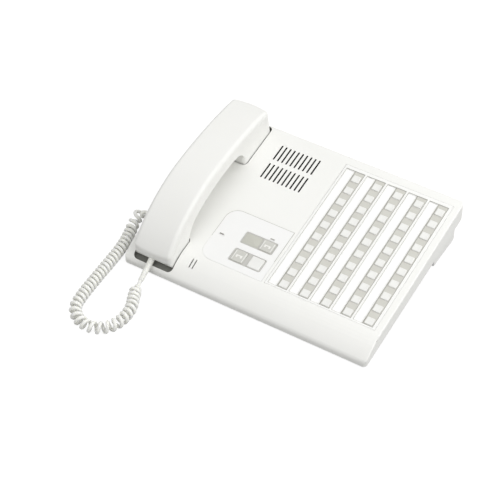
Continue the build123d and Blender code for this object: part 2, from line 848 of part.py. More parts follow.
plate_front_y = front_y + wall + fit
plate_back_y = back_y - back_lean - wall
with BuildPart() as base_plate:
    with BuildSketch(Plane.YZ):
        with BuildLine():
            Polyline((plate_front_y, underside_z(plate_front_y)), (plate_back_y, underside_z(plate_back_y)),
                     (plate_back_y, underside_z(plate_back_y) + wall),
                     (plate_front_y, underside_z(plate_front_y) + wall),
                     (plate_front_y, underside_z(plate_front_y)))
        make_face()
    extrude(amount=half_width - wall - fit, both=True)
    with BuildSketch(Plane.YZ):
        with BuildLine():
            leg_outline(0, 0)
        make_face()
    extrude(amount=leg_half, both=True)
    with BuildSketch(Plane.YZ):
        with BuildLine():
            leg_outline(wall, 2 * wall)
        make_face()
    extrude(amount=leg_half - wall, both=True, mode=Mode.SUBTRACT)
    with BuildSketch(underside):
        with Locations(*post_places):
            Circle(screw_head_radius + 2 * fit)
    extrude(amount=screw_sink, mode=Mode.SUBTRACT)
    with BuildSketch(underside):
        with Locations(*post_places):
            Circle(screw_radius + fit)
    extrude(amount=wall, mode=Mode.SUBTRACT)
    # Opening for the line connector in the back of the leg
    with BuildSketch(Plane.XZ.offset(-leg_back)):
        with Locations((0, connector_z)):
            Rectangle(connector_width + 2 * fit, connector_height + 2 * fit)
    extrude(amount=wall, mode=Mode.SUBTRACT)
write(base_plate.part, "base_plate")

case_screws = build_screws(underside.offset(screw_sink), post_places, case_screw_length,
                           screw_head_radius, screw_sink)
write(case_screws.part, "case_screws")

# Line connector: metal shell with its insert
with BuildPart() as line_connector:
    with BuildSketch(Plane.XZ.offset(-leg_back)):
        with Locations((0, connector_z)):
            Rectangle(connector_width, connector_height)
    extrude(amount=connector_depth)
    with BuildSketch(Plane.XZ.offset(-leg_back)):
        with Locations((0, connector_z)):
            Rectangle(connector_width - 2 * connector_rim, connector_height - 2 * connector_rim)
    extrude(amount=connector_depth / 2, mode=Mode.SUBTRACT)
    with BuildSketch(Plane.XZ.offset(-leg_back + wall)):
        with Locations((0, connector_z)):
            Rectangle(connector_width + 2 * connector_flange, connector_height + 2 * connector_flange)
    extrude(amount=connector_flange / 2)
write(line_connector.part, "line_connector")

# Rubber feet: two round ones under the front edge, four under the leg
front_feet = [(side * (half_width - foot_side_margin), front_y + foot_front_margin) for side in (-1, 1)]
rear_foot_inset = foot_radius + foot_margin
rear_feet = [(side * (leg_half - rear_foot_inset), y) for side in (-1, 1)
             for y in (leg_front + rear_foot_inset, leg_back - rear_foot_inset)]
with BuildPart() as rubber_feet:
    with BuildSketch(Plane.XY):
        with Locations(*front_feet):
            Circle(foot_radius)
    extrude(amount=underside_z(front_y + foot_front_margin + 2 * foot_radius))
    split(bisect_by=underside, keep=Keep.BOTTOM)
    with BuildSketch(Plane.XY):
        with Locations(*rear_feet):
            Circle(foot_radius)
    extrude(amount=rear_foot_height)
write(rubber_feet.part, "rubber_feet")

# Main board on standoffs, with its larger parts
board_plane = underside.offset(wall + standoff_height)
main_board_left = post_left + post_radius + post_clearance
main_board_width = frame_left - standoff_inset - main_board_left
main_board_middle = (main_board_left + main_board_width / 2, main_board_from_front + main_board_length / 2)
standoff_spacing = (main_board_width - 2 * standoff_inset, main_board_length - 2 * standoff_inset)
with BuildPart() as main_board:
    with BuildSketch(board_plane):
        with Locations(main_board_middle):
            Rectangle(main_board_width, main_board_length)
    extrude(amount=board_thickness)
write(main_board.part, "main_board")

with BuildPart() as board_standoffs:
    with BuildSketch(underside.offset(wall)):
        with Locations(main_board_middle):
            with GridLocations(*standoff_spacing, 2, 2):
                Circle(boss_radius)
    extrude(amount=standoff_height)
write(board_standoffs.part, "board_standoffs")

with BuildPart() as board_parts:
    with BuildSketch(board_plane.offset(board_thickness)):
        with Locations(main_board_middle):
            with GridLocations(chip_pitch, 1, 2, 1):
                Rectangle(chip_width, chip_length)
            with GridLocations(standoff_spacing[0] - 2 * standoff_inset, chip_pitch / 2, 2, 2):
                Circle(can_radius)
    extrude(amount=board_part_height)
write(board_parts.part, "board_parts")

# Handset: side outline in the plane through its middle, plan outline from above
handset_plane = Plane(origin=deck.from_local_coords(Vector(handset_middle, 0, 0)), x_dir=deck.y_dir,
                      z_dir=(1, 0, 0))


def arch(drop, trim):
    """Long arch of the handset's back, lowered by drop, as arcs that run into each other."""
    crown = (crown_from_front, crown_height - drop)
    nose_top = (handset_front + nose_run, nose_top_height - drop)
    tail_top = (handset_back - tail_run, tail_top_height - drop)
    to_nose = TangentArc(crown, nose_top, tangent=(-1, 0))
    TangentArc(nose_top, (handset_front + trim, nose_height - drop), tangent=to_nose % 1)
    to_tail = TangentArc(crown, tail_top, tangent=(1, 0))
    TangentArc(tail_top, (handset_back - trim, tail_height - drop), tangent=to_tail % 1)


def underside_of_handset(raised):
    """Both cups and the grip between them, moved into the handset by raised."""
    grip = (grip_crown_from_front, crown_height - grip_thickness + raised)
    mouth_knee = (handset_front + mouth_cup_length + mouth_knee_run - raised, grip[1] - mouth_knee_drop)
    mouth_heel = (handset_front + mouth_cup_length - raised, mouth_heel_height)
    ear_knee = (ear_cup_front - ear_knee_run + raised, grip[1] - ear_knee_drop)
    ear_heel = (ear_cup_front + raised, ear_heel_height)
    mouth_bottom = raised - mouth_cup_drop
    ear_bottom = raised - ear_cup_drop
    to_mouth = TangentArc(grip, mouth_knee, tangent=(-1, 0))
    TangentArc(mouth_knee, mouth_heel, tangent=to_mouth % 1)
    Line(mouth_heel, (mouth_heel[0] - mouth_heel_lean, mouth_bottom))
    Line((mouth_heel[0] - mouth_heel_lean, mouth_bottom),
         (handset_front + mouth_chin_run + raised, mouth_bottom))
    Line((handset_front + mouth_chin_run + raised, mouth_bottom), (handset_front + raised, -mouth_chin_drop))
    to_ear = TangentArc(grip, ear_knee, tangent=(1, 0))
    TangentArc(ear_knee, ear_heel, tangent=to_ear % 1)
    Line(ear_heel, (ear_heel[0], ear_bottom))
    Line((ear_heel[0], ear_bottom), (handset_back - raised, ear_bottom))


def handset_ends(drop, raised):
    """Upright ends between the underside and an arch lowered by drop."""
    Line((handset_front + raised, -mouth_chin_drop), (handset_front + raised, nose_height - drop))
    Line((handset_back - raised, raised - ear_cup_drop), (handset_back - raised, tail_height - drop))


def handset_plan(inset):
    left = handset_left + inset
    right = handset_right - inset
    front = handset_front + inset
    back = handset_back - inset
    ThreePointArc((left, front + nose_bulge), (handset_middle, front), (right, front + nose_bulge))
    Line((right, front + nose_bulge), (right, back - tail_bulge))
    ThreePointArc((right, back - tail_bulge), (handset_middle, back), (left, back - tail_bulge))
    Line((left, back - tail_bulge), (left, front + nose_bulge))


def plan_column(inset):
    """Upright solid of the handset's plan outline, which trims each shell."""
    with BuildPart(mode=Mode.PRIVATE) as column:
        with BuildSketch(deck.offset(-2 * mouth_cup_drop)):
            with BuildLine():
                handset_plan(inset)
            make_face()
            fillet(vertices(), handset_corner_radius)
        extrude(amount=2 * (mouth_cup_drop + crown_height))
    return column.part


def rim_of(builder):
    """Edges where the back of the handset meets its sides and ends."""
    tops = [face for face in builder.faces() if face.normal_at().dot(deck.z_dir) > top_face_rise]
    edges = [edge for face in tops for edge in face.edges()]
    return [edge for edge in edges if sum(1 for other in edges if other.is_same(edge)) == 1]


def across_handset(along, height):
    """Plane square to the deck over the handset's middle line, at this height above the deck."""
    return Plane(origin=deck.from_local_coords(Vector(handset_middle, along, height)), x_dir=(1, 0, 0),
                 z_dir=deck.z_dir)


# One screw in each cup, deep in a post that both shells share: (along, height of its seat)
shell_screws = [(handset_front + mouth_screw_inset, mouth_screw_seat),
                (handset_back - ear_screw_inset, ear_screw_seat)]
receiver_plane = across_handset(ear_cup_front + receiver_inset, handset_wall - ear_cup_drop)
transmitter_plane = across_handset(handset_front + transmitter_inset, handset_wall - mouth_cup_drop)

# Cord boot: it leaves the mouth end forwards and a little down, over the front rim
boot_root = deck.from_local_coords(Vector(handset_middle - boot_shift, handset_front, -boot_drop))
boot_axis = Vector(*boot_heading).normalized()
boot_seat = handset_wall + boot_flange + boot_seat_gap
boot_plane = Plane(origin=boot_root, x_dir=Vector(0, 0, 1).cross(boot_axis), z_dir=boot_axis)

# Space inside the handset, shared by both shells
with BuildPart() as handset_space:
    with BuildSketch(handset_plane):
        with BuildLine():
            arch(handset_wall, handset_wall)
            underside_of_handset(handset_wall)
            handset_ends(handset_wall, handset_wall)
        make_face()
    extrude(amount=handset_width / 2 - handset_wall, both=True)
    add(plan_column(handset_wall), mode=Mode.INTERSECT)
    for along, seat in shell_screws:
        with BuildSketch(across_handset(along, -mouth_cup_drop)):
            Circle(shell_post_radius)
        extrude(amount=crown_height + mouth_cup_drop, mode=Mode.SUBTRACT)

with BuildPart() as handset_upper_shell:
    with BuildSketch(handset_plane):
        with BuildLine():
            arch(0, 0)
            arch(seam_drop, 0)
            Line((handset_front, nose_height), (handset_front, nose_height - seam_drop))
            Line((handset_back, tail_height), (handset_back, tail_height - seam_drop))
        make_face()
    extrude(amount=handset_width, both=True)
    add(plan_column(0), mode=Mode.INTERSECT)
    fillet(rim_of(handset_upper_shell), handset_edge_radius)
    add(handset_space.part, mode=Mode.SUBTRACT)
    for along, seat in shell_screws:
        with BuildSketch(across_handset(along, seat)):
            Circle(screw_radius)
        extrude(amount=shell_screw_length, mode=Mode.SUBTRACT)
write(handset_upper_shell.part, "handset_upper_shell")

with BuildPart() as handset_lower_shell:
    with BuildSketch(handset_plane):
        with BuildLine():
            arch(seam_drop, 0)
            underside_of_handset(0)
            handset_ends(seam_drop, 0)
        make_face()
    extrude(amount=handset_width, both=True)
    add(plan_column(0), mode=Mode.INTERSECT)
    # Rounded front corners of the ear cup
    with BuildSketch(deck.offset(-ear_cup_drop)):
        with Locations((handset_middle, ear_cup_front + cup_corner_radius)):
            Rectangle(handset_width, 2 * cup_corner_radius)
        with Locations((handset_middle, ear_cup_front + 2 * cup_corner_radius)):
            RectangleRounded(handset_width, 4 * cup_corner_radius, cup_corner_radius, mode=Mode.SUBTRACT)
    extrude(amount=ear_heel_height + ear_cup_drop, mode=Mode.SUBTRACT)
    add(handset_space.part, mode=Mode.SUBTRACT)
    for along, seat in shell_screws:
        with BuildSketch(across_handset(along, seat)):
            Circle(screw_head_radius + fit)
        extrude(amount=-seat - mouth_cup_drop, mode=Mode.SUBTRACT)
        with BuildSketch(across_handset(along, seat)):
            Circle(screw_radius)
        extrude(amount=shell_screw_length, mode=Mode.SUBTRACT)
    # Sound holes under both capsules
    for plane in (receiver_plane, transmitter_plane):
        with BuildSketch(plane):
            Circle(sound_hole_radius)
            with PolarLocations(sound_ring_radius, sound_hole_count):
                Circle(sound_hole_radius)
        extrude(amount=-handset_wall, mode=Mode.SUBTRACT)
    with BuildSketch(boot_plane):
        Circle(boot_root_radius)
    extrude(amount=boot_seat, both=True, mode=Mode.SUBTRACT)
write(handset_lower_shell.part, "handset_lower_shell")

with BuildPart() as handset_screws:
    for along, seat in shell_screws:
        add(build_screws(across_handset(along, seat), [(0, 0)], shell_screw_length).part)
write(handset_screws.part, "handset_screws")

with BuildPart() as receiver_capsule:
    with BuildSketch(receiver_plane):
        Circle(receiver_radius)
    extrude(amount=capsule_height)
    with BuildSketch(receiver_plane.offset(capsule_height)):
        Circle(receiver_radius - capsule_step)
    extrude(amount=capsule_step)
write(receiver_capsule.part, "receiver_capsule")

with BuildPart() as transmitter_capsule:
    with BuildSketch(transmitter_plane):
        Circle(transmitter_radius)
    extrude(amount=capsule_height)
write(transmitter_capsule.part, "transmitter_capsule")

# Ribbed rubber boot, held in the shell by its flange
with BuildPart() as handset_cord_boot:
    with BuildSketch(boot_plane.offset(-boot_seat)):
        Circle(boot_root_radius)
    with BuildSketch(boot_plane.offset(boot_length)):
        Circle(boot_tip_radius)
    loft()
    with BuildSketch(boot_plane.offset(-boot_seat)):
        Rectangle(2 * (boot_root_radius + boot_flange), boot_flange_height)
    extrude(amount=-boot_flange)
    for n in range(boot_rib_count):
        groove = (n + boot_groove_share) * boot_length / boot_rib_count
        with BuildSketch(boot_plane.offset(groove)):
            Circle(boot_root_radius)
            Circle(boot_tip_radius - boot_groove_depth, mode=Mode.SUBTRACT)
        extrude(amount=boot_groove_share * boot_length / boot_rib_count, mode=Mode.SUBTRACT)
write(handset_cord_boot.part, "handset_cord_boot")

# Hook plunger, held down by the ear cup, with its switch on a bracket under the well
floor_under = -ear_well[4] - well_floor
flange_top = floor_under - plunger_travel
switch_top = flange_top - plunger_flange - plunger_gap
with BuildPart() as hook_plunger:
    with BuildSketch(deck.offset(flange_top)):
        with Locations(plunger_place):
            Rectangle(plunger_width, plunger_length)
    extrude(amount=-ear_well[4] - flange_top)
    with BuildSketch(deck.offset(flange_top)):
        with Locations(plunger_place):
            Rectangle(plunger_width + 2 * plunger_flange, plunger_length + 2 * plunger_flange)
    extrude(amount=-plunger_flange)
write(hook_plunger.part, "hook_plunger")

with BuildPart() as hook_switch:
    with BuildSketch(deck.offset(switch_top)):
        with Locations(plunger_place):
            Rectangle(switch_width, switch_length)
    extrude(amount=-switch_height)
write(hook_switch.part, "hook_switch")

with BuildPart() as hook_bracket:
    with BuildSketch(deck.offset(switch_top - switch_height)):
        with Locations(plunger_place):
            Rectangle(switch_width + 2 * bracket_metal, switch_length)
    extrude(amount=-bracket_metal)
    with BuildSketch(deck.offset(switch_top - switch_height)):
        with Locations(plunger_place):
            with GridLocations(switch_width + bracket_metal, 1, 2, 1):
                Rectangle(bracket_metal, switch_length)
    extrude(amount=floor_under - switch_top + switch_height)
    with BuildSketch(deck.offset(floor_under)):
        with Locations(plunger_place):
            with GridLocations(switch_width + bracket_metal + bracket_ear, 1, 2, 1):
                Rectangle(bracket_ear + bracket_metal, switch_length)
    extrude(amount=-bracket_metal)
write(hook_bracket.part, "hook_bracket")

# Cord socket in the left side, and the plug in it
with BuildPart() as cord_socket:
    with BuildSketch(socket_plane):
        Rectangle(socket_width, socket_height)
    extrude(amount=-socket_depth)
    with BuildSketch(socket_plane):
        Rectangle(socket_width - 2 * socket_wall, socket_height - 2 * socket_wall)
    extrude(amount=-socket_depth + socket_wall, mode=Mode.SUBTRACT)
    with BuildSketch(socket_plane.offset(-wall)):
        Rectangle(socket_width + 2 * socket_wall, socket_height + 2 * socket_wall)
        Rectangle(socket_width, socket_height, mode=Mode.SUBTRACT)
    extrude(amount=-socket_wall)
write(cord_socket.part, "cord_socket")

with BuildPart() as cord_plug:
    with BuildSketch(socket_plane.offset(plug_stand)):
        RectangleRounded(socket_width - 2 * socket_wall - fit, socket_height - 2 * socket_wall - fit,
                         plug_radius)
    extrude(amount=-plug_stand - socket_depth + 2 * socket_wall)
write(cord_plug.part, "cord_plug")

# Curly cord: its curls wind round a line that leaves the boot, lies in a loop before the housing,
# runs back along its left side and climbs to the plug
boot_tip = boot_root + boot_axis * (boot_length + cord_end_gap)
plug_end = socket_plane.offset(plug_stand).origin
floor_height = curl_diameter / 2 + cord_floor_gap
cord_line_points = [
    boot_tip, boot_tip + boot_axis * cord_lead,
    (-110.4, -155.6, floor_height), (-102.0, -172.6, floor_height),
    (-101.1, -192.6, floor_height), (-108.0, -209.0, floor_height), (-124.0, -218.8, floor_height),
    (-144.4, -214.8, floor_height), (-156.2, -201.8, floor_height), (-159.0, -184.4, floor_height),
    (-160.6, -161.0, floor_height), (-161.8, -129.0, floor_height), (-163.8, -97.0, floor_height),
    (-168.8, -76.0, floor_height + 0.5), (-172.4, -62.0, floor_height + 3.0), (-171.0, -53.4, 16.6),
    plug_end + Vector(-cord_lead, 0, 0), plug_end,
]


def turn_radii(points):
    """Radius at each corner that rounds it as widely as the runs beside it allow."""
    corners = [Vector(*point) for point in points]
    radii = []
    for before, corner, after in zip(corners, corners[1:], corners[2:]):
        shorter = min((corner - before).length, (after - corner).length)
        half_turn = radians((corner - before).get_angle(after - corner)) / 2
        radii.append(corner_share * shorter / tan(half_turn))
    return radii


cord_radii = turn_radii(cord_line_points)
cord_line = FilletPolyline(*cord_line_points, radius=cord_radii)
line_length = cord_line.length
print("cord line", round(line_length, 1), "radii", [round(radius, 1) for radius in cord_radii])


def bend_at(place):
    """Bend of the cord's line around this place along it, in 1/mm."""
    before = max(place - bend_window, 0.0)
    after = min(place + bend_window, line_length)
    turn = (cord_line % (before / line_length)).get_angle(cord_line % (after / line_length))
    return radians(turn) / (after - before)


# Places along the line where each half turn ends: the curls stand further apart in a bend
half_turns = [wire_diameter]
while half_turns[-1] < line_length - wire_diameter:
    from_end = min(len(half_turns) - 1, (line_length - half_turns[-1]) / curl_pitch * 2)
    opening = bend_opening * bend_at(half_turns[-1]) + end_opening * max(0.0, 1 - from_end / curl_grow)
    half_turns.append(half_turns[-1] + (curl_pitch + opening) / 2)
squeeze = (line_length - 2 * wire_diameter) / (half_turns[-1] - wire_diameter)
half_turns = [wire_diameter + (place - wire_diameter) * squeeze for place in half_turns]
last_turn = len(half_turns) - 1
print("curls", last_turn / 2)


def curl_point(half):
    """Point of the wire's middle after this many half turns."""
    step = min(int(half), last_turn - 1)
    place = half_turns[step] + (half - step) * (half_turns[step + 1] - half_turns[step])
    along = place / line_length
    ahead = cord_line % along
    side = ahead.cross(Vector(0, 0, 1)).normalized()
    up = side.cross(ahead)
    grown = min(1.0, half / curl_grow, (last_turn - half) / curl_grow)
    swing = (curl_diameter - wire_diameter) / 2 * grown ** 2 * (3 - 2 * grown)
    return cord_line @ along + side * (swing * cos(half * pi)) + up * (swing * sin(half * pi))


def curl_heading(half):
    before = curl_point(max(half - heading_step, 0.0))
    after = curl_point(min(half + heading_step, last_turn))
    return (after - before).normalized()


def two_arcs(start, start_heading, end, end_heading):
    """Two arcs that leave start and reach end along the given headings and meet smoothly."""
    chord = end - start
    headings = start_heading + end_heading
    square = headings.dot(headings) - 4
    middle = -2 * chord.dot(headings)
    reach = (-middle - sqrt(middle ** 2 - 4 * square * chord.dot(chord))) / (2 * square)
    first = start + start_heading * reach
    second = end - end_heading * reach
    meet = (first + second) * 0.5
    return [Edge.make_tangent_arc(start, start_heading, meet),
            Edge.make_tangent_arc(meet, (second - first).normalized(), end)]


curl_ends = [curl_point(half) for half in range(last_turn + 1)]
curl_headings = [cord_line % 0] + [curl_heading(half) for half in range(1, last_turn)] + [cord_line % 1]
cord_edges = [Edge.make_line(cord_line @ 0, curl_ends[0])]
for half in range(last_turn):
    cord_edges += two_arcs(curl_ends[half], curl_headings[half], curl_ends[half + 1], curl_headings[half + 1])
cord_edges.append(Edge.make_line(curl_ends[-1], cord_line @ 1))
cord_wire = Wire(cord_edges)

with BuildPart() as coil_cord:
    with BuildSketch(Plane(origin=cord_wire @ 0, z_dir=cord_wire % 0)):
        RegularPolygon(radius=wire_diameter / 2, side_count=cord_sides)
    sweep(path=cord_wire, clean=False)
write(coil_cord.part, "coil_cord")

# Least gap between one turn and another, on points along the wire
samples = [tuple(cord_wire @ (n / gap_samples)) for n in range(gap_samples + 1)]
own_turn = own_turn_share * pi * (curl_diameter - wire_diameter)
skip = int(gap_samples * own_turn / cord_wire.length)
least = min(dist(samples[i], samples[j]) for i in range(gap_samples) for j in range(i + skip, gap_samples))
tightest = min(edge.radius for edge in cord_edges if edge.geom_type == GeomType.CIRCLE)
section_area = wire_diameter ** 2 / 2
print("wire length", round(cord_wire.length, 1), "least gap", round(least - wire_diameter, 2),
      "tightest", round(tightest, 2), "volume share",
      round(coil_cord.part.volume / (cord_wire.length * section_area), 3))
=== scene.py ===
import json
import math

import bmesh
import bpy
from mathutils import Matrix, Vector

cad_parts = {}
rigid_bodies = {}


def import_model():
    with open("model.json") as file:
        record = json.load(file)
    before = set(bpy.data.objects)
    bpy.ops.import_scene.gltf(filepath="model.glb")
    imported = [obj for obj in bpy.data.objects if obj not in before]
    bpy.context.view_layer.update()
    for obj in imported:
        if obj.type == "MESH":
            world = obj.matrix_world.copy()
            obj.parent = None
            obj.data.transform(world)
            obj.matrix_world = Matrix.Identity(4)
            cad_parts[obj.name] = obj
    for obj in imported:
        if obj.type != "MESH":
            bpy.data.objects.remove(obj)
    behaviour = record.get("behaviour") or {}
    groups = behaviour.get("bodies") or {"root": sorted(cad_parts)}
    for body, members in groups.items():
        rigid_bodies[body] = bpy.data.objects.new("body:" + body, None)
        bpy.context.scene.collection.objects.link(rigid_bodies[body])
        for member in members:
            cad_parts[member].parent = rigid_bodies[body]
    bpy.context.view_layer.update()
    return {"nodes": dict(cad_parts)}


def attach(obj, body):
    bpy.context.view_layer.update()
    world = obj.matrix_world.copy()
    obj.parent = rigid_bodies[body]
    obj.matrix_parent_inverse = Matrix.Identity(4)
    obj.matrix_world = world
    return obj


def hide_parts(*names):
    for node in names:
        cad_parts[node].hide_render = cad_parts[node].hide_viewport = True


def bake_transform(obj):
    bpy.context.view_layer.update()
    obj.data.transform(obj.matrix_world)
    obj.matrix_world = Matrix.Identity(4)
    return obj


# Looks of the desk intercom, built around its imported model. Sizes in the dictionaries are millimetres.
for leftOver in list(bpy.data.objects):
    bpy.data.objects.remove(leftOver)
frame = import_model()
nodes = frame["nodes"]
mm = 0.001

# The sloping deck: across from its left side, along from its front edge, up square to it
deckFrame = {"corner": (-147.745, -113.226, 19.84), "slope": 9.574}
deck = (Matrix.Translation(Vector(deckFrame["corner"]) * mm)
        @ Matrix.Rotation(math.radians(deckFrame["slope"]), 4, "X"))


# ---- camera, at the photograph's angle
cameraSetup = {"place": (642.75, -1161.1, 1334.5), "yaw": 31.077, "elevation": 45.154, "lens": 120.88,
               "near": 0.05, "far": 50}  # near and far are in metres


def setCamera(setup):
    yaw = math.radians(setup["yaw"])
    rise = math.radians(setup["elevation"])
    back = Vector((math.sin(yaw) * math.cos(rise), -math.cos(yaw) * math.cos(rise), math.sin(rise)))
    bpy.ops.object.camera_add(location=Vector(setup["place"]) * mm)
    camera = bpy.context.object
    camera.name = "photoCamera"
    camera.rotation_euler = (-back).to_track_quat("-Z", "Y").to_euler()
    camera.data.lens = setup["lens"]
    camera.data.clip_start = setup["near"]
    camera.data.clip_end = setup["far"]
    bpy.context.scene.camera = camera


setCamera(cameraSetup)
print("camera set")


# ---- small tools for modelling by hand
def clearSelection():
    if bpy.context.mode != "OBJECT":
        bpy.ops.object.mode_set(mode="OBJECT")
    bpy.ops.object.select_all(action="DESELECT")


def selectOnly(piece):
    clearSelection()
    piece.select_set(True)
    bpy.context.view_layer.objects.active = piece


def startBox(name, low, high):
    clearSelection()
    low, high = Vector(low) * mm, Vector(high) * mm
    bpy.ops.mesh.primitive_cube_add(size=1, location=(low + high) / 2)
    piece = bpy.context.object
    piece.name = piece.data.name = name
    piece.scale = high - low
    bpy.ops.object.transform_apply(location=True, rotation=True, scale=True)
    return piece


def pickFaces(piece, test):
    # test gets a face's centre in millimetres and its normal
    bpy.ops.object.mode_set(mode="EDIT")
    bpy.ops.mesh.select_mode(type="FACE")
    bpy.ops.mesh.select_all(action="DESELECT")
    shape = bmesh.from_edit_mesh(piece.data)
    for face in shape.faces:
        face.select_set(test(face.calc_center_median() / mm, face.normal))
    bmesh.update_edit_mesh(piece.data)


def pickEdges(piece, test):
    # test gets both ends of an edge in millimetres
    bpy.ops.object.mode_set(mode="EDIT")
    bpy.ops.mesh.select_mode(type="EDGE")
    bpy.ops.mesh.select_all(action="DESELECT")
    shape = bmesh.from_edit_mesh(piece.data)
    for edge in shape.edges:
        edge.select_set(test(edge.verts[0].co / mm, edge.verts[1].co / mm))
    bmesh.update_edit_mesh(piece.data)


def move(x=0, y=0, z=0):
    return {"value": (x * mm, y * mm, z * mm)}


def applyModifier(piece, kind, **settings):
    selectOnly(piece)
    modifier = piece.modifiers.new(kind.lower(), kind)
    for key, value in settings.items():
        setattr(modifier, key, value)
    bpy.ops.object.modifier_apply(modifier=modifier.name)


def softenEdges(piece, width, segments=2, angle=35):
    applyModifier(piece, "BEVEL", width=width * mm, segments=segments, limit_method="ANGLE",
                  angle_limit=math.radians(angle), use_clamp_overlap=False)


def smooth(piece, angle=32):
    selectOnly(piece)
    bpy.ops.object.shade_smooth_by_angle(angle=math.radians(angle))


def copyPiece(piece, name, shift=(0, 0, 0)):
    twin = piece.copy()
    twin.data = piece.data.copy()
    twin.name = twin.data.name = name
    bpy.context.scene.collection.objects.link(twin)
    twin.data.transform(Matrix.Translation(Vector(shift) * mm))
    return twin


def joinPieces(pieces, name):
    clearSelection()
    for piece in pieces:
        piece.select_set(True)
    bpy.context.view_layer.objects.active = pieces[0]
    if len(pieces) > 1:
        bpy.ops.object.join()
    joined = bpy.context.object
    joined.name = joined.data.name = name
    return joined


def place(piece, matrix, body, slot, material, *replaced):
    # the piece's place goes into its mesh, then it joins its body
    clearSelection()
    piece.data.transform(matrix)
    piece.data.materials.clear()
    for one in material if isinstance(material, list) else [material]:
        piece.data.materials.append(one)
    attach(piece, body)
    if replaced:
        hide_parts(*replaced)
    return piece


# ---- materials
def hexColour(code):
    # an sRGB hex colour as linear numbers
    parts = [int(code[i:i + 2], 16) / 255 for i in (0, 2, 4)]
    return tuple(p / 12.92 if p <= 0.04045 else ((p + 0.055) / 1.055) ** 2.4 for p in parts) + (1.0,)


def addNode(tree, kind, settings=None, links=None):
    node = tree.nodes.new("ShaderNode" + kind)
    for key, value in (settings or {}).items():
        if key in node.inputs:
            node.inputs[key].default_value = value
        else:
            setattr(node, key, value)
    for key, source in (links or {}).items():
        tree.links.new(source, node.inputs[key])
    return node


def newMaterial(name):
    material = bpy.data.materials.new(name)
    material.use_nodes = True
    material.node_tree.nodes.clear()
    return material, material.node_tree


def finishMaterial(tree, shader):
    addNode(tree, "OutputMaterial", links={"Surface": shader.outputs["BSDF"]})


def mouldedPlastic(name, look):
    # spark-eroded mould: fine grain in the bump, faint clouds in colour and gloss
    material, tree = newMaterial(name)
    where = addNode(tree, "TexCoord").outputs["Object"]
    clouds = addNode(tree, "TexNoise", {"Scale": 1 / (look["clouds"] * mm), "Detail": 3.0, "Roughness": 0.55},
                     {"Vector": where})
    grain = addNode(tree, "TexNoise", {"Scale": 1 / (look["grain"] * mm), "Detail": 2.0, "Roughness": 0.6},
                    {"Vector": where})
    shade = addNode(tree, "MixRGB", {"Color1": hexColour(look["colour"]), "Color2": hexColour(look["aged"])},
                    {"Fac": clouds.outputs["Fac"]})
    gloss = addNode(tree, "MapRange", {"To Min": look["gloss"][0], "To Max": look["gloss"][1]},
                    {"Value": grain.outputs["Fac"]})
    relief = addNode(tree, "Bump", {"Strength": look["relief"], "Distance": 0.04 * mm},
                     {"Height": grain.outputs["Fac"]})
    shader = addNode(tree, "BsdfPrincipled", {"IOR": look.get("ior", 1.52)},
                     {"Base Color": shade.outputs["Color"], "Roughness": gloss.outputs["Result"],
                      "Normal": relief.outputs["Normal"]})
    for key, value in look.get("shader", {}).items():
        shader.inputs[key].default_value = value
    finishMaterial(tree, shader)
    return material


# Injection moulded ABS: warm white, satin, with a grain that breaks up the highlights
coverAbs = mouldedPlastic("moulded_abs_warm_white", {
    "colour": "f1f1ee", "aged": "eeeeea", "clouds": 60, "grain": 0.45, "gloss": (0.42, 0.56), "relief": 0.35})
# Painted shade for the wells under the handset: a grey that stands in for the shade in the gap round the
# cups, so it reads as a dark line
wellPaintedShade = mouldedPlastic("painted_shade_well_grey", {
    "colour": "7b7b76", "aged": "83837e", "clouds": 8, "grain": 0.3, "gloss": (0.8, 0.95), "relief": 0.5})
# Same ABS from another mould, a shade whiter and smoother
frameAbs = mouldedPlastic("moulded_abs_frame", {
    "colour": "f3f3f1", "aged": "f0f0ed", "clouds": 40, "grain": 0.35, "gloss": (0.36, 0.48), "relief": 0.2})
# Handset ABS: polished mould, so the long back shows a soft sheen
handsetAbs = mouldedPlastic("moulded_abs_handset", {
    "colour": "f1f1ee", "aged": "eeeeea", "clouds": 70, "grain": 0.5, "gloss": (0.3, 0.42), "relief": 0.15})
# Keycap ABS: close to the frame's white, a touch greyer, smooth from fingers
keyAbs = mouldedPlastic("moulded_abs_keycap", {
    "colour": "ebebe8", "aged": "e6e6e2", "clouds": 12, "grain": 0.3, "gloss": (0.28, 0.4), "relief": 0.12})
# Grey keycap ABS, the same mould finish
greyKeyAbs = mouldedPlastic("moulded_abs_grey_keycap", {
    "colour": "cdccc6", "aged": "c8c8c1", "clouds": 12, "grain": 0.3, "gloss": (0.3, 0.42), "relief": 0.15})
# Grey bezel ABS behind the control keys, matt
bezelAbs = mouldedPlastic("moulded_abs_bezel_grey", {
    "colour": "c4c3be", "aged": "bebdb7", "clouds": 18, "grain": 0.35, "gloss": (0.45, 0.6), "relief": 0.3})
# Grey polystyrene band between the keys, matt and slightly warm
bandPlastic = mouldedPlastic("moulded_polystyrene_band", {
    "colour": "cfcec7", "aged": "c8c7bf", "clouds": 9, "grain": 0.4, "gloss": (0.5, 0.62), "relief": 0.35})
# Painted shade: a dark grey ring round each band that stands in for the shade in the gap beside it, so it
# shows as a thin line
bandGapShade = mouldedPlastic("painted_gap_shade_grey", {
    "colour": "a3a29b", "aged": "99988f", "clouds": 8, "grain": 0.4, "gloss": (0.5, 0.65), "relief": 0.3})
# Polycarbonate control plate: flat film, smoother than the cover round it
plateFilm = mouldedPlastic("printed_polycarbonate_plate", {
    "colour": "f2f2f1", "aged": "efefed", "clouds": 50, "grain": 0.25, "gloss": (0.3, 0.38), "relief": 0.08})
# Plasticised PVC of the curly cord: soft satin, a little waxy
cordPvc = mouldedPlastic("extruded_pvc_cord", {
    "colour": "f4f4f0", "aged": "efefe9", "clouds": 20, "grain": 0.6, "gloss": (0.34, 0.46), "relief": 0.15,
    "shader": {"Subsurface Weight": 0.3, "Subsurface Scale": 0.003, "Subsurface Radius": (1.0, 1.0, 0.9)}})
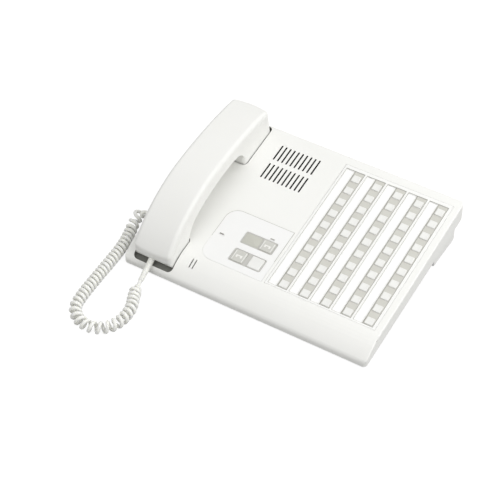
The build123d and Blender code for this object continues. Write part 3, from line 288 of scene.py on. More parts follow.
# Name card: uncoated paper with a fibre mottle
cardPaper = mouldedPlastic("uncoated_card", {
    "colour": "fefefd", "aged": "fbfbf9", "clouds": 3, "grain": 0.2, "gloss": (0.8, 0.9), "relief": 0.2,
    "ior": 1.45})
# Acetal plunger and connector insert: slippery, slightly translucent off-white
acetal = mouldedPlastic("moulded_acetal", {
    "colour": "e9e8e0", "aged": "e2e1d6", "clouds": 10, "grain": 0.5, "gloss": (0.25, 0.38), "relief": 0.1,
    "shader": {"Subsurface Weight": 0.1, "Subsurface Scale": 0.002, "Subsurface Radius": (1.0, 1.0, 0.8)}})
# Unlit lamp lens: tinted acrylic, dull while its diode is off
lampAcrylic = mouldedPlastic("tinted_acrylic_lens", {
    "colour": "8a8783", "aged": "807d78", "clouds": 3, "grain": 0.6, "gloss": (0.2, 0.3), "relief": 0.05,
    "shader": {"Coat Weight": 0.2, "Coat Roughness": 0.1}})
# Unlit call lamp: the same acrylic over a paler diode, so it shows as a light grey bar
paleLampAcrylic = mouldedPlastic("pale_acrylic_lens", {
    "colour": "a9a8a3", "aged": "a09f99", "clouds": 3, "grain": 0.6, "gloss": (0.2, 0.3), "relief": 0.05,
    "shader": {"Coat Weight": 0.2, "Coat Roughness": 0.1}})
# Smoked polycarbonate display window over an unlit display: flat grey-green with a clean sheen
smokedWindow = mouldedPlastic("smoked_polycarbonate_window", {
    "colour": "c4c4ba", "aged": "c0c0b6", "clouds": 14, "grain": 0.8, "gloss": (0.3, 0.36), "relief": 0.03,
    "shader": {"Coat Weight": 0.05, "Coat Roughness": 0.2}})
# Black glass-filled nylon of hidden mouldings; the same black is painted shade on the sides of the speaker
# slots
blackNylonAndSlotShade = mouldedPlastic("black_nylon_and_slot_shade", {
    "colour": "232322", "aged": "2b2a28", "clouds": 10, "grain": 0.5, "gloss": (0.45, 0.6), "relief": 0.4})
# Grey moulded rubber of the feet: matt with a chalky bloom
footRubber = mouldedPlastic("moulded_grey_rubber", {
    "colour": "6d6c68", "aged": "7a7974", "clouds": 5, "grain": 0.5, "gloss": (0.7, 0.85), "relief": 0.5,
    "ior": 1.5})
# Dark silicone of the contact sheet and microphone boot
contactRubber = mouldedPlastic("moulded_silicone_contact", {
    "colour": "3a3a3a", "aged": "424140", "clouds": 8, "grain": 0.4, "gloss": (0.55, 0.7), "relief": 0.2,
    "ior": 1.41})
# Green solder mask over FR4 laminate: glossy with the glass weave just showing
boardLaminate = mouldedPlastic("solder_masked_laminate", {
    "colour": "1f5a3a", "aged": "2a6845", "clouds": 6, "grain": 0.9, "gloss": (0.25, 0.35), "relief": 0.25,
    "ior": 1.55})
# Screen ink of the pictograms: thin matt white that stands out from the grey keys
symbolInk = mouldedPlastic("printed_ink_white", {
    "colour": "efeeea", "aged": "e8e7e2", "clouds": 4, "grain": 0.3, "gloss": (0.6, 0.7), "relief": 0.1})
# Painted shade: a thin matt grey that stands in for the shade at the recess edges round the name strips and
# in the seam behind the control plate
paintedShadeLine = mouldedPlastic("painted_shade_line_grey", {
    "colour": "bfbeb7", "aged": "b8b7af", "clouds": 4, "grain": 0.3, "gloss": (0.6, 0.7), "relief": 0.1})


def clearPlastic(name, look):
    # rolled film: almost nothing but its sheen and fine scratches
    material, tree = newMaterial(name)
    where = addNode(tree, "TexCoord").outputs["Object"]
    stretched = addNode(tree, "Mapping", {"Scale": (1.0, 0.08, 1.0)}, {"Vector": where})
    scratches = addNode(tree, "TexNoise", {"Scale": 1 / (look["scratch"] * mm), "Detail": 4.0},
                        {"Vector": stretched.outputs["Vector"]})
    gloss = addNode(tree, "MapRange", {"To Min": look["gloss"][0], "To Max": look["gloss"][1]},
                    {"Value": scratches.outputs["Fac"]})
    shader = addNode(tree, "BsdfPrincipled",
                     {"Base Color": hexColour(look["colour"]), "IOR": 1.54, "Alpha": look["body"]},
                     {"Roughness": gloss.outputs["Result"]})
    finishMaterial(tree, shader)
    return material


# Clear PVC cover over each name card: shows as a light sheen on the paper
clearPvc = clearPlastic("rolled_clear_pvc", {
    "colour": "fafaf8", "scratch": 0.4, "gloss": (0.06, 0.14), "body": 0.04})


def platedMetal(name, look):
    # rolled sheet: fine lines along X in the bump, cloudy zinc or tin in the gloss
    material, tree = newMaterial(name)
    where = addNode(tree, "TexCoord").outputs["Object"]
    rolled = addNode(tree, "Mapping", {"Scale": (0.06, 1.0, 1.0)}, {"Vector": where})
    lines = addNode(tree, "TexNoise", {"Scale": 1 / (look["lines"] * mm), "Detail": 3.0},
                    {"Vector": rolled.outputs["Vector"]})
    clouds = addNode(tree, "TexNoise", {"Scale": 1 / (look["clouds"] * mm), "Detail": 4.0}, {"Vector": where})
    shade = addNode(tree, "MixRGB", {"Color1": hexColour(look["colour"]), "Color2": hexColour(look["dull"])},
                    {"Fac": clouds.outputs["Fac"]})
    gloss = addNode(tree, "MapRange", {"To Min": look["gloss"][0], "To Max": look["gloss"][1]},
                    {"Value": clouds.outputs["Fac"]})
    relief = addNode(tree, "Bump", {"Strength": 0.2, "Distance": 0.02 * mm}, {"Height": lines.outputs["Fac"]})
    shader = addNode(tree, "BsdfPrincipled", {"Metallic": 1.0},
                     {"Base Color": shade.outputs["Color"], "Roughness": gloss.outputs["Result"],
                      "Normal": relief.outputs["Normal"]})
    finishMaterial(tree, shader)
    return material


# Zinc plated steel: bright grey with soft clouds
zincSteel = platedMetal("zinc_plated_steel", {
    "colour": "c9cacb", "dull": "a9aaac", "lines": 0.15, "clouds": 4, "gloss": (0.25, 0.42)})
# Gold flashed contacts
goldContact = platedMetal("gold_flashed_contact", {
    "colour": "d9b46a", "dull": "c9a25a", "lines": 0.1, "clouds": 2, "gloss": (0.18, 0.3)})


def wovenCloth(name, look):
    # plain weave drawn as two sets of threads, coarser than real so that it shows
    material, tree = newMaterial(name)
    where = addNode(tree, "TexCoord").outputs["Object"]
    warp = addNode(tree, "TexWave", {"wave_type": "BANDS", "bands_direction": "X", "Scale": look["threads"]},
                   {"Vector": where})
    weft = addNode(tree, "TexWave", {"wave_type": "BANDS", "bands_direction": "Y", "Scale": look["threads"]},
                   {"Vector": where})
    weave = addNode(tree, "Math", {"operation": "MULTIPLY"})
    tree.links.new(warp.outputs["Fac"], weave.inputs[0])
    tree.links.new(weft.outputs["Fac"], weave.inputs[1])
    shade = addNode(tree, "MixRGB", {"Color1": hexColour(look["gap"]), "Color2": hexColour(look["thread"])},
                    {"Fac": weave.outputs["Value"]})
    relief = addNode(tree, "Bump", {"Strength": 0.6, "Distance": 0.1 * mm},
                     {"Height": weave.outputs["Value"]})
    shader = addNode(tree, "BsdfPrincipled", {"Roughness": 0.9, "Sheen Weight": 0.1},
                     {"Base Color": shade.outputs["Color"], "Normal": relief.outputs["Normal"]})
    finishMaterial(tree, shader)
    return material


# Black polyester grille cloth, 0.8 mm threads: reads as darkness with a faint texture in the slots
grilleCloth = wovenCloth("woven_polyester_grille_cloth", {
    "gap": "0b0b0b", "thread": "2a2a29", "threads": 190})
# Black pulp paper of the loudspeaker cone, drawn as a coarse felt of fibres
conePaper = wovenCloth("pressed_pulp_cone", {
    "gap": "191817", "thread": "2b2926", "threads": 120})
print("materials made")

# ---- CAD nodes that stay as they are, with their materials
nodeMaterials = {
    "selector_tray": bezelAbs, "key_contact_sheet": contactRubber,
    "key_board": boardLaminate, "board_screws": zincSteel, "display_module": blackNylonAndSlotShade,
    "lamp_diodes": lampAcrylic, "control_board": boardLaminate, "control_board_screws": zincSteel,
    "control_key_pads": contactRubber, "speaker_cloth": grilleCloth, "speaker_basket": zincSteel,
    "speaker_cone": conePaper, "microphone_boot": contactRubber, "microphone": zincSteel,
    "main_board": boardLaminate, "board_standoffs": acetal, "board_parts": blackNylonAndSlotShade,
    "handset_screws": zincSteel, "receiver_capsule": blackNylonAndSlotShade, "transmitter_capsule": blackNylonAndSlotShade,
    "hook_switch": blackNylonAndSlotShade, "hook_bracket": zincSteel, "name_strips": cardPaper,
}
for nodeName, material in nodeMaterials.items():
    nodes[nodeName].data.materials.clear()
    nodes[nodeName].data.materials.append(material)
print("inner nodes dressed", len(nodeMaterials))


# ---- curly cord, from the socket in the left side to the boot of the handset
cordLook = {
    "route": [  # the points of the route in part.py, from the plug back to the boot
        (-157.245, -51.496, 20.618), (-166.245, -51.496, 20.618), (-171.0, -53.4, 16.6),
        (-172.4, -62.0, 10.5), (-168.8, -76.0, 8.0), (-163.8, -97.0, 7.5),
        (-161.8, -129.0, 7.5), (-160.6, -161.0, 7.5), (-159.0, -184.4, 7.5), (-156.2, -201.8, 7.5),
        (-144.4, -214.8, 7.5), (-124.0, -218.8, 7.5),
        (-108.0, -209.0, 7.5), (-101.1, -192.6, 7.5), (-102.0, -172.6, 7.5), (-110.4, -155.6, 7.5),
        (-114.884, -142.848, 6.644), (-115.965, -134.197, 8.879)],
    "wire": 4.2, "curl": 14.6, "pitch": 5.6, "bendOpening": 70.0, "bendWindow": 12.0, "endOpening": 1.6,
    "endTurns": 1.6, "plugTurns": 0.8, "turns": 43.0, "pointsPerTurn": 24, "length": 1395.9,
    "step": 0.25, "headingSteps": 2, "roundness": 2,
}


def smoothRoute(points):
    curve = bpy.data.curves.new("cordRoute", "CURVE")
    curve.dimensions = "3D"
    curve.resolution_u = 32
    spline = curve.splines.new("NURBS")
    spline.points.add(len(points) - 1)
    for control, point in zip(spline.points, points):
        control.co = (*(Vector(point) * mm), 1.0)
    spline.order_u = 3
    spline.use_endpoint_u = True
    holder = bpy.data.objects.new("cordRoute", curve)
    bpy.context.scene.collection.objects.link(holder)
    line = bpy.data.meshes.new_from_object(holder)
    places = [vertex.co / mm for vertex in line.vertices]
    bpy.data.objects.remove(holder)
    bpy.data.curves.remove(curve)
    bpy.data.meshes.remove(line)
    return places


def evenly(points, step):
    # points at equal steps along a line of points
    lengths = [0.0]
    for a, b in zip(points, points[1:]):
        lengths.append(lengths[-1] + (b - a).length)
    count = int(lengths[-1] / step)
    spaced, j = [], 0
    for i in range(count + 1):
        wanted = lengths[-1] * i / count
        while j < len(lengths) - 2 and lengths[j + 1] < wanted:
            j += 1
        share = (wanted - lengths[j]) / max(lengths[j + 1] - lengths[j], 1e-9)
        spaced.append(points[j].lerp(points[j + 1], share))
    return spaced, lengths[-1] / count


def curlsAlong(look):
    line, step = evenly(smoothRoute(look["route"]), look["step"])
    last = len(line) - 1
    reach = round(look["bendWindow"] / step)
    total = last * step

    def heading(i):
        span = look["headingSteps"]
        return (line[min(i + span, last)] - line[max(i - span, 0)]).normalized()

    # half turns passed at each point: fewer per millimetre in a bend and at the ends
    straight = round(look["wire"] / step)
    passed = [0.0]
    for i in range(straight, last - straight):
        low, high = max(i - reach, 0), min(i + reach, last)
        bend = heading(low).angle(heading(high)) / ((high - low) * step)
        fromEnd = min(i, last - i) * step / look["pitch"] / look["endTurns"]
        pitch = look["pitch"] + look["bendOpening"] * bend + look["endOpening"] * max(0.0, 1 - fromEnd)
        passed.append(passed[-1] + 2 * step / pitch)
    squeeze = 2 * look["turns"] / passed[-1]
    passed = [half * squeeze for half in passed]
    count = round(look["turns"] * look["pointsPerTurn"])
    centre, j = [line[0]], 0
    for n in range(count + 1):
        half = 2 * look["turns"] * n / count
        while j < len(passed) - 2 and passed[j + 1] < half:
            j += 1
        share = (half - passed[j]) / max(passed[j + 1] - passed[j], 1e-9)
        i = min(straight + j, last - 1)
        on = line[i].lerp(line[i + 1], min(share, 1.0))
        ahead = heading(i)
        side = ahead.cross(Vector((0, 0, 1))).normalized()
        up = side.cross(ahead)
        grown = min(1.0, half / 2 / look["plugTurns"], (look["turns"] - half / 2) / look["endTurns"])
        swing = (look["curl"] - look["wire"]) / 2 * grown ** 2 * (3 - 2 * grown)
        turned = half * math.pi
        centre.append(on + side * swing * math.cos(turned) + up * swing * math.sin(turned))
    centre.append(line[last])
    print("cord route", round(total, 1), "mm")
    return centre


def makeCord(look):
    centre = curlsAlong(look)
    curve = bpy.data.curves.new("curlyCord", "CURVE")
    curve.dimensions = "3D"
    spline = curve.splines.new("POLY")
    spline.points.add(len(centre) - 1)
    for control, point in zip(spline.points, centre):
        control.co = (*(point * mm), 1.0)
    curve.bevel_depth = look["wire"] / 2 * mm
    curve.bevel_resolution = look["roundness"]
    curve.use_fill_caps = True
    cord = bpy.data.objects.new("curlyCord", curve)
    bpy.context.scene.collection.objects.link(cord)
    selectOnly(cord)
    bpy.ops.object.convert(target="MESH")
    cord = bpy.context.object
    cord.name = cord.data.name = "curlyCord"
    bpy.ops.object.shade_smooth()
    cord.data.materials.clear()
    cord.data.materials.append(cordPvc)
    clearSelection()
    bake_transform(cord)
    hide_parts("coil_cord")
    return cord, [point * mm for point in centre]


cord, cordCentre = makeCord(cordLook)
wireLength = sum((b - a).length for a, b in zip(cordCentre, cordCentre[1:]))
print("cord made,", round(wireLength * 1000), "mm of wire")

# ---- shells that keep the CAD shape: merged, edges softened, smooth
shells = {
    # node: (piece, body, slot, material, edge in mm)
    "upper_cover": ("upperCover", "base", "white_abs", coverAbs, 0.2),
    "base_plate": ("basePlate", "base", "white_abs", coverAbs, 0.4),
    "selector_frame": ("selectorFrame", "base", "frame_white", frameAbs, 0.2),
    "control_plate": ("controlPlate", "base", "plate_white", plateFilm, 0.12),
    "control_bezel": ("controlBezel", "base", "band_grey", bezelAbs, 0.12),
    "key_bands": ("keyBands", "base", "band_grey", bandPlastic, 0.1),
    "handset_upper_shell": ("handsetBack", "handset", "handset_white", handsetAbs, 0.3),
    "handset_lower_shell": ("handsetFront", "handset", "handset_white", handsetAbs, 0.12),
    "hook_plunger": ("hookPlunger", "hook_plunger", "key_white", acetal, 0.4),
    "cord_socket": ("cordSocket", "base", "white_abs", coverAbs, 0.25),
    "cord_plug": ("cordPlug", "base", "cord_white", cordPvc, 0.3),
    "line_connector": ("lineConnector", "base", "steel", zincSteel, 0.3),
    "rubber_feet": ("rubberFeet", "base", "rubber_grey", footRubber, 0.5),
    "lamp_lenses": ("lampLenses", "base", "lamp_red", lampAcrylic, 0.2),
}
shellFinish = {"merge": 0.002, "flatAngle": 0.4, "flatWeight": 90}


def dressShell(nodeName, pieceName, body, slot, material, edge):
    shell = bpy.data.objects.new(pieceName, nodes[nodeName].data.copy())
    shell.data.name = pieceName
    bpy.context.scene.collection.objects.link(shell)
    selectOnly(shell)
    bpy.ops.mesh.customdata_custom_splitnormals_clear()
    bpy.ops.object.mode_set(mode="EDIT")
    bpy.ops.mesh.select_all(action="SELECT")
    bpy.ops.mesh.remove_doubles(threshold=shellFinish["merge"] * mm)
    bpy.ops.mesh.dissolve_limited(angle_limit=math.radians(shellFinish["flatAngle"]))
    bpy.ops.object.mode_set(mode="OBJECT")
    softenEdges(shell, edge)
    smooth(shell)
    # flat faces keep their own normal, so that wide ones show no creases
    applyModifier(shell, "WEIGHTED_NORMAL", weight=shellFinish["flatWeight"], keep_sharp=True)
    return place(shell, Matrix(), body, slot, material, nodeName)


dressed = {nodeName: dressShell(nodeName, *facts) for nodeName, facts in shells.items()}
deckUp = deck.to_3x3() @ Vector((0, 0, 1))
# The plunger stands this far below its node, along the deck's normal. In the CAD its flange touches the
# underside of the well's floor at the top of the lift, and here it stays clear of it.
plungerDrop = 0.12
dressed["hook_plunger"].data.transform(Matrix.Translation(deckUp * -plungerDrop * mm))

# ---- painted shade on faces below the deck: grey in the handset's wells and black on the sides of the speaker slots
# both are guesses, standing in for the shade in the gaps round the cups and in the slots
# (material, across, along, lowest, highest, least and greatest rise of the face's normal)
paintedShadeFaces = [
    # painted shade: grey in the mouth well and the ear well
    (wellPaintedShade, (5.0, 56.0), (2.4, 62.0), -12.8, -0.9, (-0.2, 1.1)),
    (wellPaintedShade, (5.0, 56.0), (140.0, 228.0), -12.8, -0.9, (-0.2, 1.1)),
    # painted shade: black on the sides of the speaker slots
    (blackNylonAndSlotShade, (72.0, 136.0), (150.0, 216.0), -2.6, -0.15, (-0.5, 0.8)),
]
coverPiece = dressed["upper_cover"].data
toDeck = deck.inverted()
for material, across, along, lowest, highest, rise in paintedShadeFaces:
    coverPiece.materials.append(material)
    shadedFaceCount = 0
    for face in coverPiece.polygons:
        spot = toDeck @ face.center / mm
        outward = toDeck.to_3x3() @ face.normal
        if (across[0] < spot.x < across[1] and along[0] < spot.y < along[1]
                and lowest < spot.z < highest and rise[0] < outward.z < rise[1]):
            face.material_index = len(coverPiece.materials) - 1
            shadedFaceCount += 1
    print("faces lined with", material.name, shadedFaceCount)

# ---- lamp lenses: only the middle of each is clear to its diode, the margin is white
# margin in millimetres; lenses further right than callLamp, in metres, belong to the call lamp
lensLook = {"margin": 0.35, "callLamp": -0.035}
lensPiece = dressed["lamp_lenses"]
for material in (paleLampAcrylic, plateFilm):
    lensPiece.data.materials.append(material)
selectOnly(lensPiece)
pickFaces(lensPiece, lambda centre, normal: normal.dot(deckUp) > 0.95)
bpy.ops.mesh.inset(thickness=lensLook["margin"] * mm)
bpy.ops.object.mode_set(mode="OBJECT")
for face in lensPiece.data.polygons:
    face.material_index = 2 if not face.select else 1 if face.center.x > lensLook["callLamp"] else 0
print("shells dressed", len(dressed))

# ---- ribbed boot where the cord enters the handset
bootLook = {"root": (-119.245, -107.957, 15.658), "heading": (3, -24, -6.2), "inside": 7.2, "length": 27.0,
            "rootRadius": 3.6, "tipRadius": 2.9, "ribs": 9, "groove": 0.55, "flange": 4.4,
            "flangeThickness": 1.2, "firstRib": 1.0, "plain": 2.5, "ribEdge": 0.15, "tipEdge": 0.4,
            "steps": 28}


def makeBoot(look):
    # half profile as (radius, distance from the handset), spun round the boot's line
    flangeFront = look["flangeThickness"] - look["inside"]
    profile = [(0.0, -look["inside"]), (look["flange"], -look["inside"]), (look["flange"], flangeFront),
               (look["rootRadius"], flangeFront), (look["rootRadius"], look["firstRib"])]
    pitch = (look["length"] - look["plain"]) / look["ribs"]
    for n in range(look["ribs"]):
        start = look["firstRib"] + n * pitch
        radius = look["rootRadius"] + (look["tipRadius"] - look["rootRadius"]) * n / look["ribs"]
        edge, floor = radius - look["ribEdge"], radius - look["groove"]
        profile += [(radius, start + 0.4 * pitch), (edge, start + 0.5 * pitch),
                    (floor, start + 0.55 * pitch), (floor, start + 0.9 * pitch),
                    (edge, start + 0.95 * pitch), (radius, start + pitch)]
    profile += [(look["tipRadius"], look["length"] - look["tipEdge"]),
                (look["tipRadius"] - look["tipEdge"], look["length"]),
                (0.0, look["length"])]
    clearSelection()
    bpy.ops.mesh.primitive_plane_add(size=0.001)
    boot = bpy.context.object
    boot.name = boot.data.name = "cordBoot"
    bpy.ops.object.mode_set(mode="EDIT")
    bpy.ops.mesh.delete(type="VERT")
    shape = bmesh.from_edit_mesh(boot.data)
    spots = [shape.verts.new((radius * mm, 0, far * mm)) for radius, far in profile]
    for a, b in zip(spots, spots[1:]):
        shape.edges.new((a, b))
    bmesh.update_edit_mesh(boot.data)
    bpy.ops.mesh.select_all(action="SELECT")
    bpy.ops.mesh.spin(steps=look["steps"], angle=2 * math.pi, center=(0, 0, 0), axis=(0, 0, 1))
    bpy.ops.mesh.select_all(action="SELECT")
    bpy.ops.mesh.remove_doubles(threshold=0.005 * mm)
    bpy.ops.mesh.normals_make_consistent(inside=False)
    bpy.ops.object.mode_set(mode="OBJECT")
    smooth(boot, 50)
    turn = Vector(look["heading"]).to_track_quat("Z", "Y").to_matrix().to_4x4()
    return place(boot, Matrix.Translation(Vector(look["root"]) * mm) @ turn, "handset", "cord_white", cordPvc,
                 "handset_cord_boot")


makeBoot(bootLook)
print("boot made")

# ---- keycaps: a flange under the tray, rounded corners, a chamfered rim and a shallow dish
callKey = {"width": 9.3, "length": 9.1, "flange": 0.9, "bottom": -5.2, "flangeTop": -4.3, "top": 0.5,
           "corner": 0.5, "rim": 0.35, "dish": (1.0, 1.2, 1.0), "sink": 0.09,
           "firstColumn": 177.25, "columnPitch": 26.16, "columns": 5,
           "firstRow": 41.45, "rowPitch": 18.0, "rows": 10}
controlKey = {"width": 15.0, "flange": 0.9, "bottom": -5.2, "flangeTop": -4.3, "top": 0.6,
              "corner": 0.6, "rim": 0.4, "dish": (1.2, 2.0, 2.0), "sink": 0.03}
# the two steps of the chamfered rim, each as its width and its rise in parts of the rim
rimSteps = ((0.3, 0.6), (0.8, 0.4))


def makeKeycap(name, look, length):
    halfWidth, halfLength = look["width"] / 2, length / 2
    edge = look["flange"]
    cap = startBox(name, (-halfWidth - edge, -halfLength - edge, look["bottom"]),
                   (halfWidth + edge, halfLength + edge, look["flangeTop"]))
    pickFaces(cap, lambda centre, normal: normal.z > 0.9)
    bpy.ops.mesh.inset(thickness=edge * mm)
    bpy.ops.mesh.extrude_region_move(
        TRANSFORM_OT_translate=move(z=look["top"] - look["rim"] - look["flangeTop"]))
    pickFaces(cap, lambda centre, normal: normal.z > 0.9 and centre.z > look["flangeTop"] + 1)
    for widthShare, riseShare in rimSteps:
        bpy.ops.mesh.inset(thickness=look["rim"] * widthShare * mm, depth=look["rim"] * riseShare * mm)
    for width in look["dish"]:
        bpy.ops.mesh.inset(thickness=width * mm, depth=-look["sink"] * mm)
    near = look["rim"] * 1.2

    def atCorner(point):
        return (halfWidth - abs(point.x) < near and halfLength - abs(point.y) < near
                and point.z > look["flangeTop"] - 0.1)

    pickEdges(cap, lambda a, b: atCorner(a) and atCorner(b) and (a - b).length < 5 and abs(a.z - b.z) > 0.05)
    bpy.ops.mesh.bevel(offset=look["corner"] * mm, segments=3)
    bpy.ops.object.mode_set(mode="OBJECT")
    smooth(cap, 40)
    return cap


capPattern = makeKeycap("callKeyPattern", callKey, callKey["length"])
for column in range(callKey["columns"]):
    across = callKey["firstColumn"] + column * callKey["columnPitch"]
    caps = [copyPiece(capPattern, f"cap{column + 1}_{row + 1}",
                      (across, callKey["firstRow"] + row * callKey["rowPitch"], 0))
            for row in range(callKey["rows"])]
    nodeName = f"call_keys_{column + 1}"
    place(joinPieces(caps, f"callKeys{column + 1}"), deck, nodeName, "key_white", keyAbs, nodeName)
bpy.data.objects.remove(capPattern)
print("call keys made")

controlKeys = {
    # key: (piece, across, along, length, slot, material)
    "talk_key": ("talkKey", 136.0, 51.0, 15.2, "key_white", keyAbs),
    "cancel_key": ("cancelKey", 114.9, 51.0, 15.2, "key_grey", greyKeyAbs),
    "handset_key": ("handsetKey", 136.0, 76.5, 14.2, "key_grey", greyKeyAbs),
}
ridgeLook = {"fromEdge": 1.3, "width": 0.9, "rise": 0.35, "endGap": 1.2, "top": 0.56,
             "root": 0.3, "edge": 0.2}
symbolLook = {"length": 7.6, "bar": 1.5, "cup": 2.0, "cupWidth": 2.1, "rise": 0.08, "top": 0.5,
              "corner": 0.35, "offset": 0.6}


def makeRidge(name, across, along, length):
    half = length / 2 - ridgeLook["endGap"]
    low, high = ridgeLook["top"] - ridgeLook["root"], ridgeLook["top"] + ridgeLook["rise"]
    ridge = startBox(name, (across - ridgeLook["width"] / 2, along - half, low),
                     (across + ridgeLook["width"] / 2, along + half, high))
    pickEdges(ridge, lambda a, b: min(a.z, b.z) > ridgeLook["top"])
    bpy.ops.mesh.bevel(offset=ridgeLook["edge"] * mm, segments=3)
    bpy.ops.object.mode_set(mode="OBJECT")
    smooth(ridge, 60)
    return ridge


def makeHandsetSymbol(name, across, along):
    # a bar with a cup at each end: a telephone handset seen from the side
    half = symbolLook["length"] / 2
    symbol = startBox(name, (-half, -symbolLook["bar"] / 2, 0),
                      (half, symbolLook["bar"] / 2, symbolLook["rise"]))
    for cut in (half - symbolLook["cupWidth"], symbolLook["cupWidth"] - half):
        bpy.ops.object.mode_set(mode="EDIT")
        bpy.ops.mesh.select_all(action="SELECT")
        bpy.ops.mesh.bisect(plane_co=(cut * mm, 0, 0), plane_no=(1, 0, 0))
    cupStart = half - symbolLook["cupWidth"]
    pickFaces(symbol, lambda centre, normal: normal.y < -0.9 and abs(centre.x) > cupStart)
    bpy.ops.mesh.extrude_region_move(TRANSFORM_OT_translate=move(y=-symbolLook["cup"]))
    pickEdges(symbol, lambda a, b: abs(a.z - b.z) > symbolLook["rise"] / 2 and abs(a.x) > half - 0.1)
    bpy.ops.mesh.bevel(offset=symbolLook["corner"] * mm, segments=3)
    bpy.ops.object.mode_set(mode="OBJECT")
    spot = Vector((across, along + symbolLook["offset"], symbolLook["top"])) * mm
    symbol.data.transform(Matrix.Translation(spot))
    return symbol


for nodeName, (pieceName, across, along, length, slot, material) in controlKeys.items():
    key = makeKeycap(pieceName, controlKey, length)
    key.data.transform(Matrix.Translation(Vector((across, along, 0)) * mm))
    place(key, deck, nodeName, slot, material, nodeName)
    if slot == "key_grey":
        for side in (-1, 1):
            ridgeAcross = across + side * (controlKey["width"] / 2 - ridgeLook["fromEdge"])
            ridge = makeRidge(f"{pieceName}Ridge{side + 2}", ridgeAcross, along, length)
            place(ridge, deck, nodeName, "key_white", keyAbs)
        place(makeHandsetSymbol(f"{pieceName}Symbol", across, along), deck, nodeName, "band_grey", symbolInk)
print("control keys made")

# ---- display window: a slab with rounded corners and a softened rim
windowLook = {"across": 116.6, "along": 76.5, "width": 19.8, "length": 13.6, "top": -0.3, "bottom": -1.5,
              "corner": 0.8, "rim": 0.6, "rimRise": 0.12}


def makeWindow(look):
    halfWidth, halfLength = look["width"] / 2, look["length"] / 2
    window = startBox("displayWindow",
                      (look["across"] - halfWidth, look["along"] - halfLength, look["bottom"]),
                      (look["across"] + halfWidth, look["along"] + halfLength, look["top"]))
    pickEdges(window, lambda a, b: abs(a.z - b.z) > 0.5)
    bpy.ops.mesh.bevel(offset=look["corner"] * mm, segments=4)
    pickFaces(window, lambda centre, normal: normal.z > 0.9)
    bpy.ops.mesh.inset(thickness=look["rim"] * mm, depth=look["rimRise"] * mm)
    bpy.ops.object.mode_set(mode="OBJECT")
    smooth(window, 25)
    return place(window, deck, "base", "smoked", smokedWindow, "display_window")


makeWindow(windowLook)

# ---- painted shade: a dark ring round each grey band and a grey line round each name strip, standing in for the shade in the gaps; and the strips' clear covers
gapShadeAndCoverLook = {"firstLeft": 159.65, "pitch": 26.16, "columns": 5, "strip": 11.35, "band": 12.5,
              "front": 35.6, "length": 178.2, "line": 0.55, "bottom": -0.6, "top": -0.42,
              "stripLine": 0.45, "coverBottom": -1.25, "coverTop": -0.45, "gap": 0.05, "coverGap": 0.1,
              "lineShift": 0.02, "lineRoot": 0.1, "lineRise": 0.06, "coverEdge": 0.12,
              "gapShadeEdge": 0.06, "lineEdge": 0.04}


def makeRing(name, low, high, line):
    ring = startBox(name, low, high)
    pickFaces(ring, lambda centre, normal: abs(normal.z) > 0.9)
    bpy.ops.mesh.inset(thickness=line * mm)
    bpy.ops.mesh.bridge_edge_loops()
    bpy.ops.object.mode_set(mode="OBJECT")
    return ring


def makeGapShadeAndCovers(look):
    rings, lines, covers = [], [], []
    front, back = look["front"] + look["gap"], look["front"] + look["length"] - look["gap"]
    for n in range(look["columns"]):
        left = look["firstLeft"] + n * look["pitch"]
        middle = left + look["strip"]
        right = middle + look["band"]
        rings.append(makeRing(f"edging{n + 1}", (middle + look["gap"], front, look["bottom"]),
                              (right - look["gap"], back, look["top"]), look["line"]))
        shift = look["lineShift"]
        lines.append(makeRing(f"line{n + 1}", (left + shift, front, look["coverTop"] - look["lineRoot"]),
                              (middle + shift, back, look["coverTop"] + look["lineRise"]), look["stripLine"]))
        cover = startBox(f"cover{n + 1}", (left + look["coverGap"], front + look["gap"], look["coverBottom"]),
                         (middle - look["coverGap"], back - look["gap"], look["coverTop"]))
        pickEdges(cover, lambda a, b: min(a.z, b.z) > look["coverTop"] - 0.1)
        bpy.ops.mesh.bevel(offset=look["coverEdge"] * mm, segments=2)
        bpy.ops.object.mode_set(mode="OBJECT")
        covers.append(cover)
    shadeEdging = joinPieces(rings, "bandGapShadeRings")
    softenEdges(shadeEdging, look["gapShadeEdge"], 1)
    smooth(shadeEdging)
    place(shadeEdging, deck, "base", "band_grey", bandGapShade)
    # painted shade: grey lines round the name strips, standing in for the shade at their recess edges
    shadeLines = joinPieces(lines, "stripShadeLines")
    softenEdges(shadeLines, look["lineEdge"], 1)
    place(shadeLines, deck, "base", "band_grey", paintedShadeLine)
    place(joinPieces(covers, "stripCovers"), deck, "base", "clear", clearPvc, "strip_covers")


makeGapShadeAndCovers(gapShadeAndCoverLook)

# ---- painted shade: a fine grey line in the seam behind the control plate, where its back edge stands against the cover, standing in for the seam's shade
seamShadeLook = {"left": 72.4, "right": 153.2, "front": 32.7, "back": 106.6, "corner": 15.1, "line": 0.5,
            "bottom": -0.2, "top": 0.03, "from": 62.0}


def makeSeamShade(look):
    seamShade = startBox("plateSeamShade", (look["left"], look["front"], look["bottom"]),
                    (look["right"], look["back"], look["top"]))
    pickEdges(seamShade, lambda a, b: abs(a.z - b.z) > 0.1 and max(a.x, b.x) < look["left"] + 1)
    bpy.ops.mesh.bevel(offset=look["corner"] * mm, segments=16)
    pickFaces(seamShade, lambda centre, normal: abs(normal.z) > 0.9)
    bpy.ops.mesh.inset(thickness=look["line"] * mm)
    bpy.ops.mesh.bridge_edge_loops()
    bpy.ops.mesh.select_all(action="SELECT")
    bpy.ops.mesh.bisect(plane_co=(0, look["from"] * mm, 0), plane_no=(0, 1, 0),
                        clear_inner=True, use_fill=True)
    bpy.ops.object.mode_set(mode="OBJECT")
    smooth(seamShade, 30)
    return place(seamShade, deck, "base", "band_grey", paintedShadeLine)


makeSeamShade(seamShadeLook)
print("window, edging, covers and seam made")

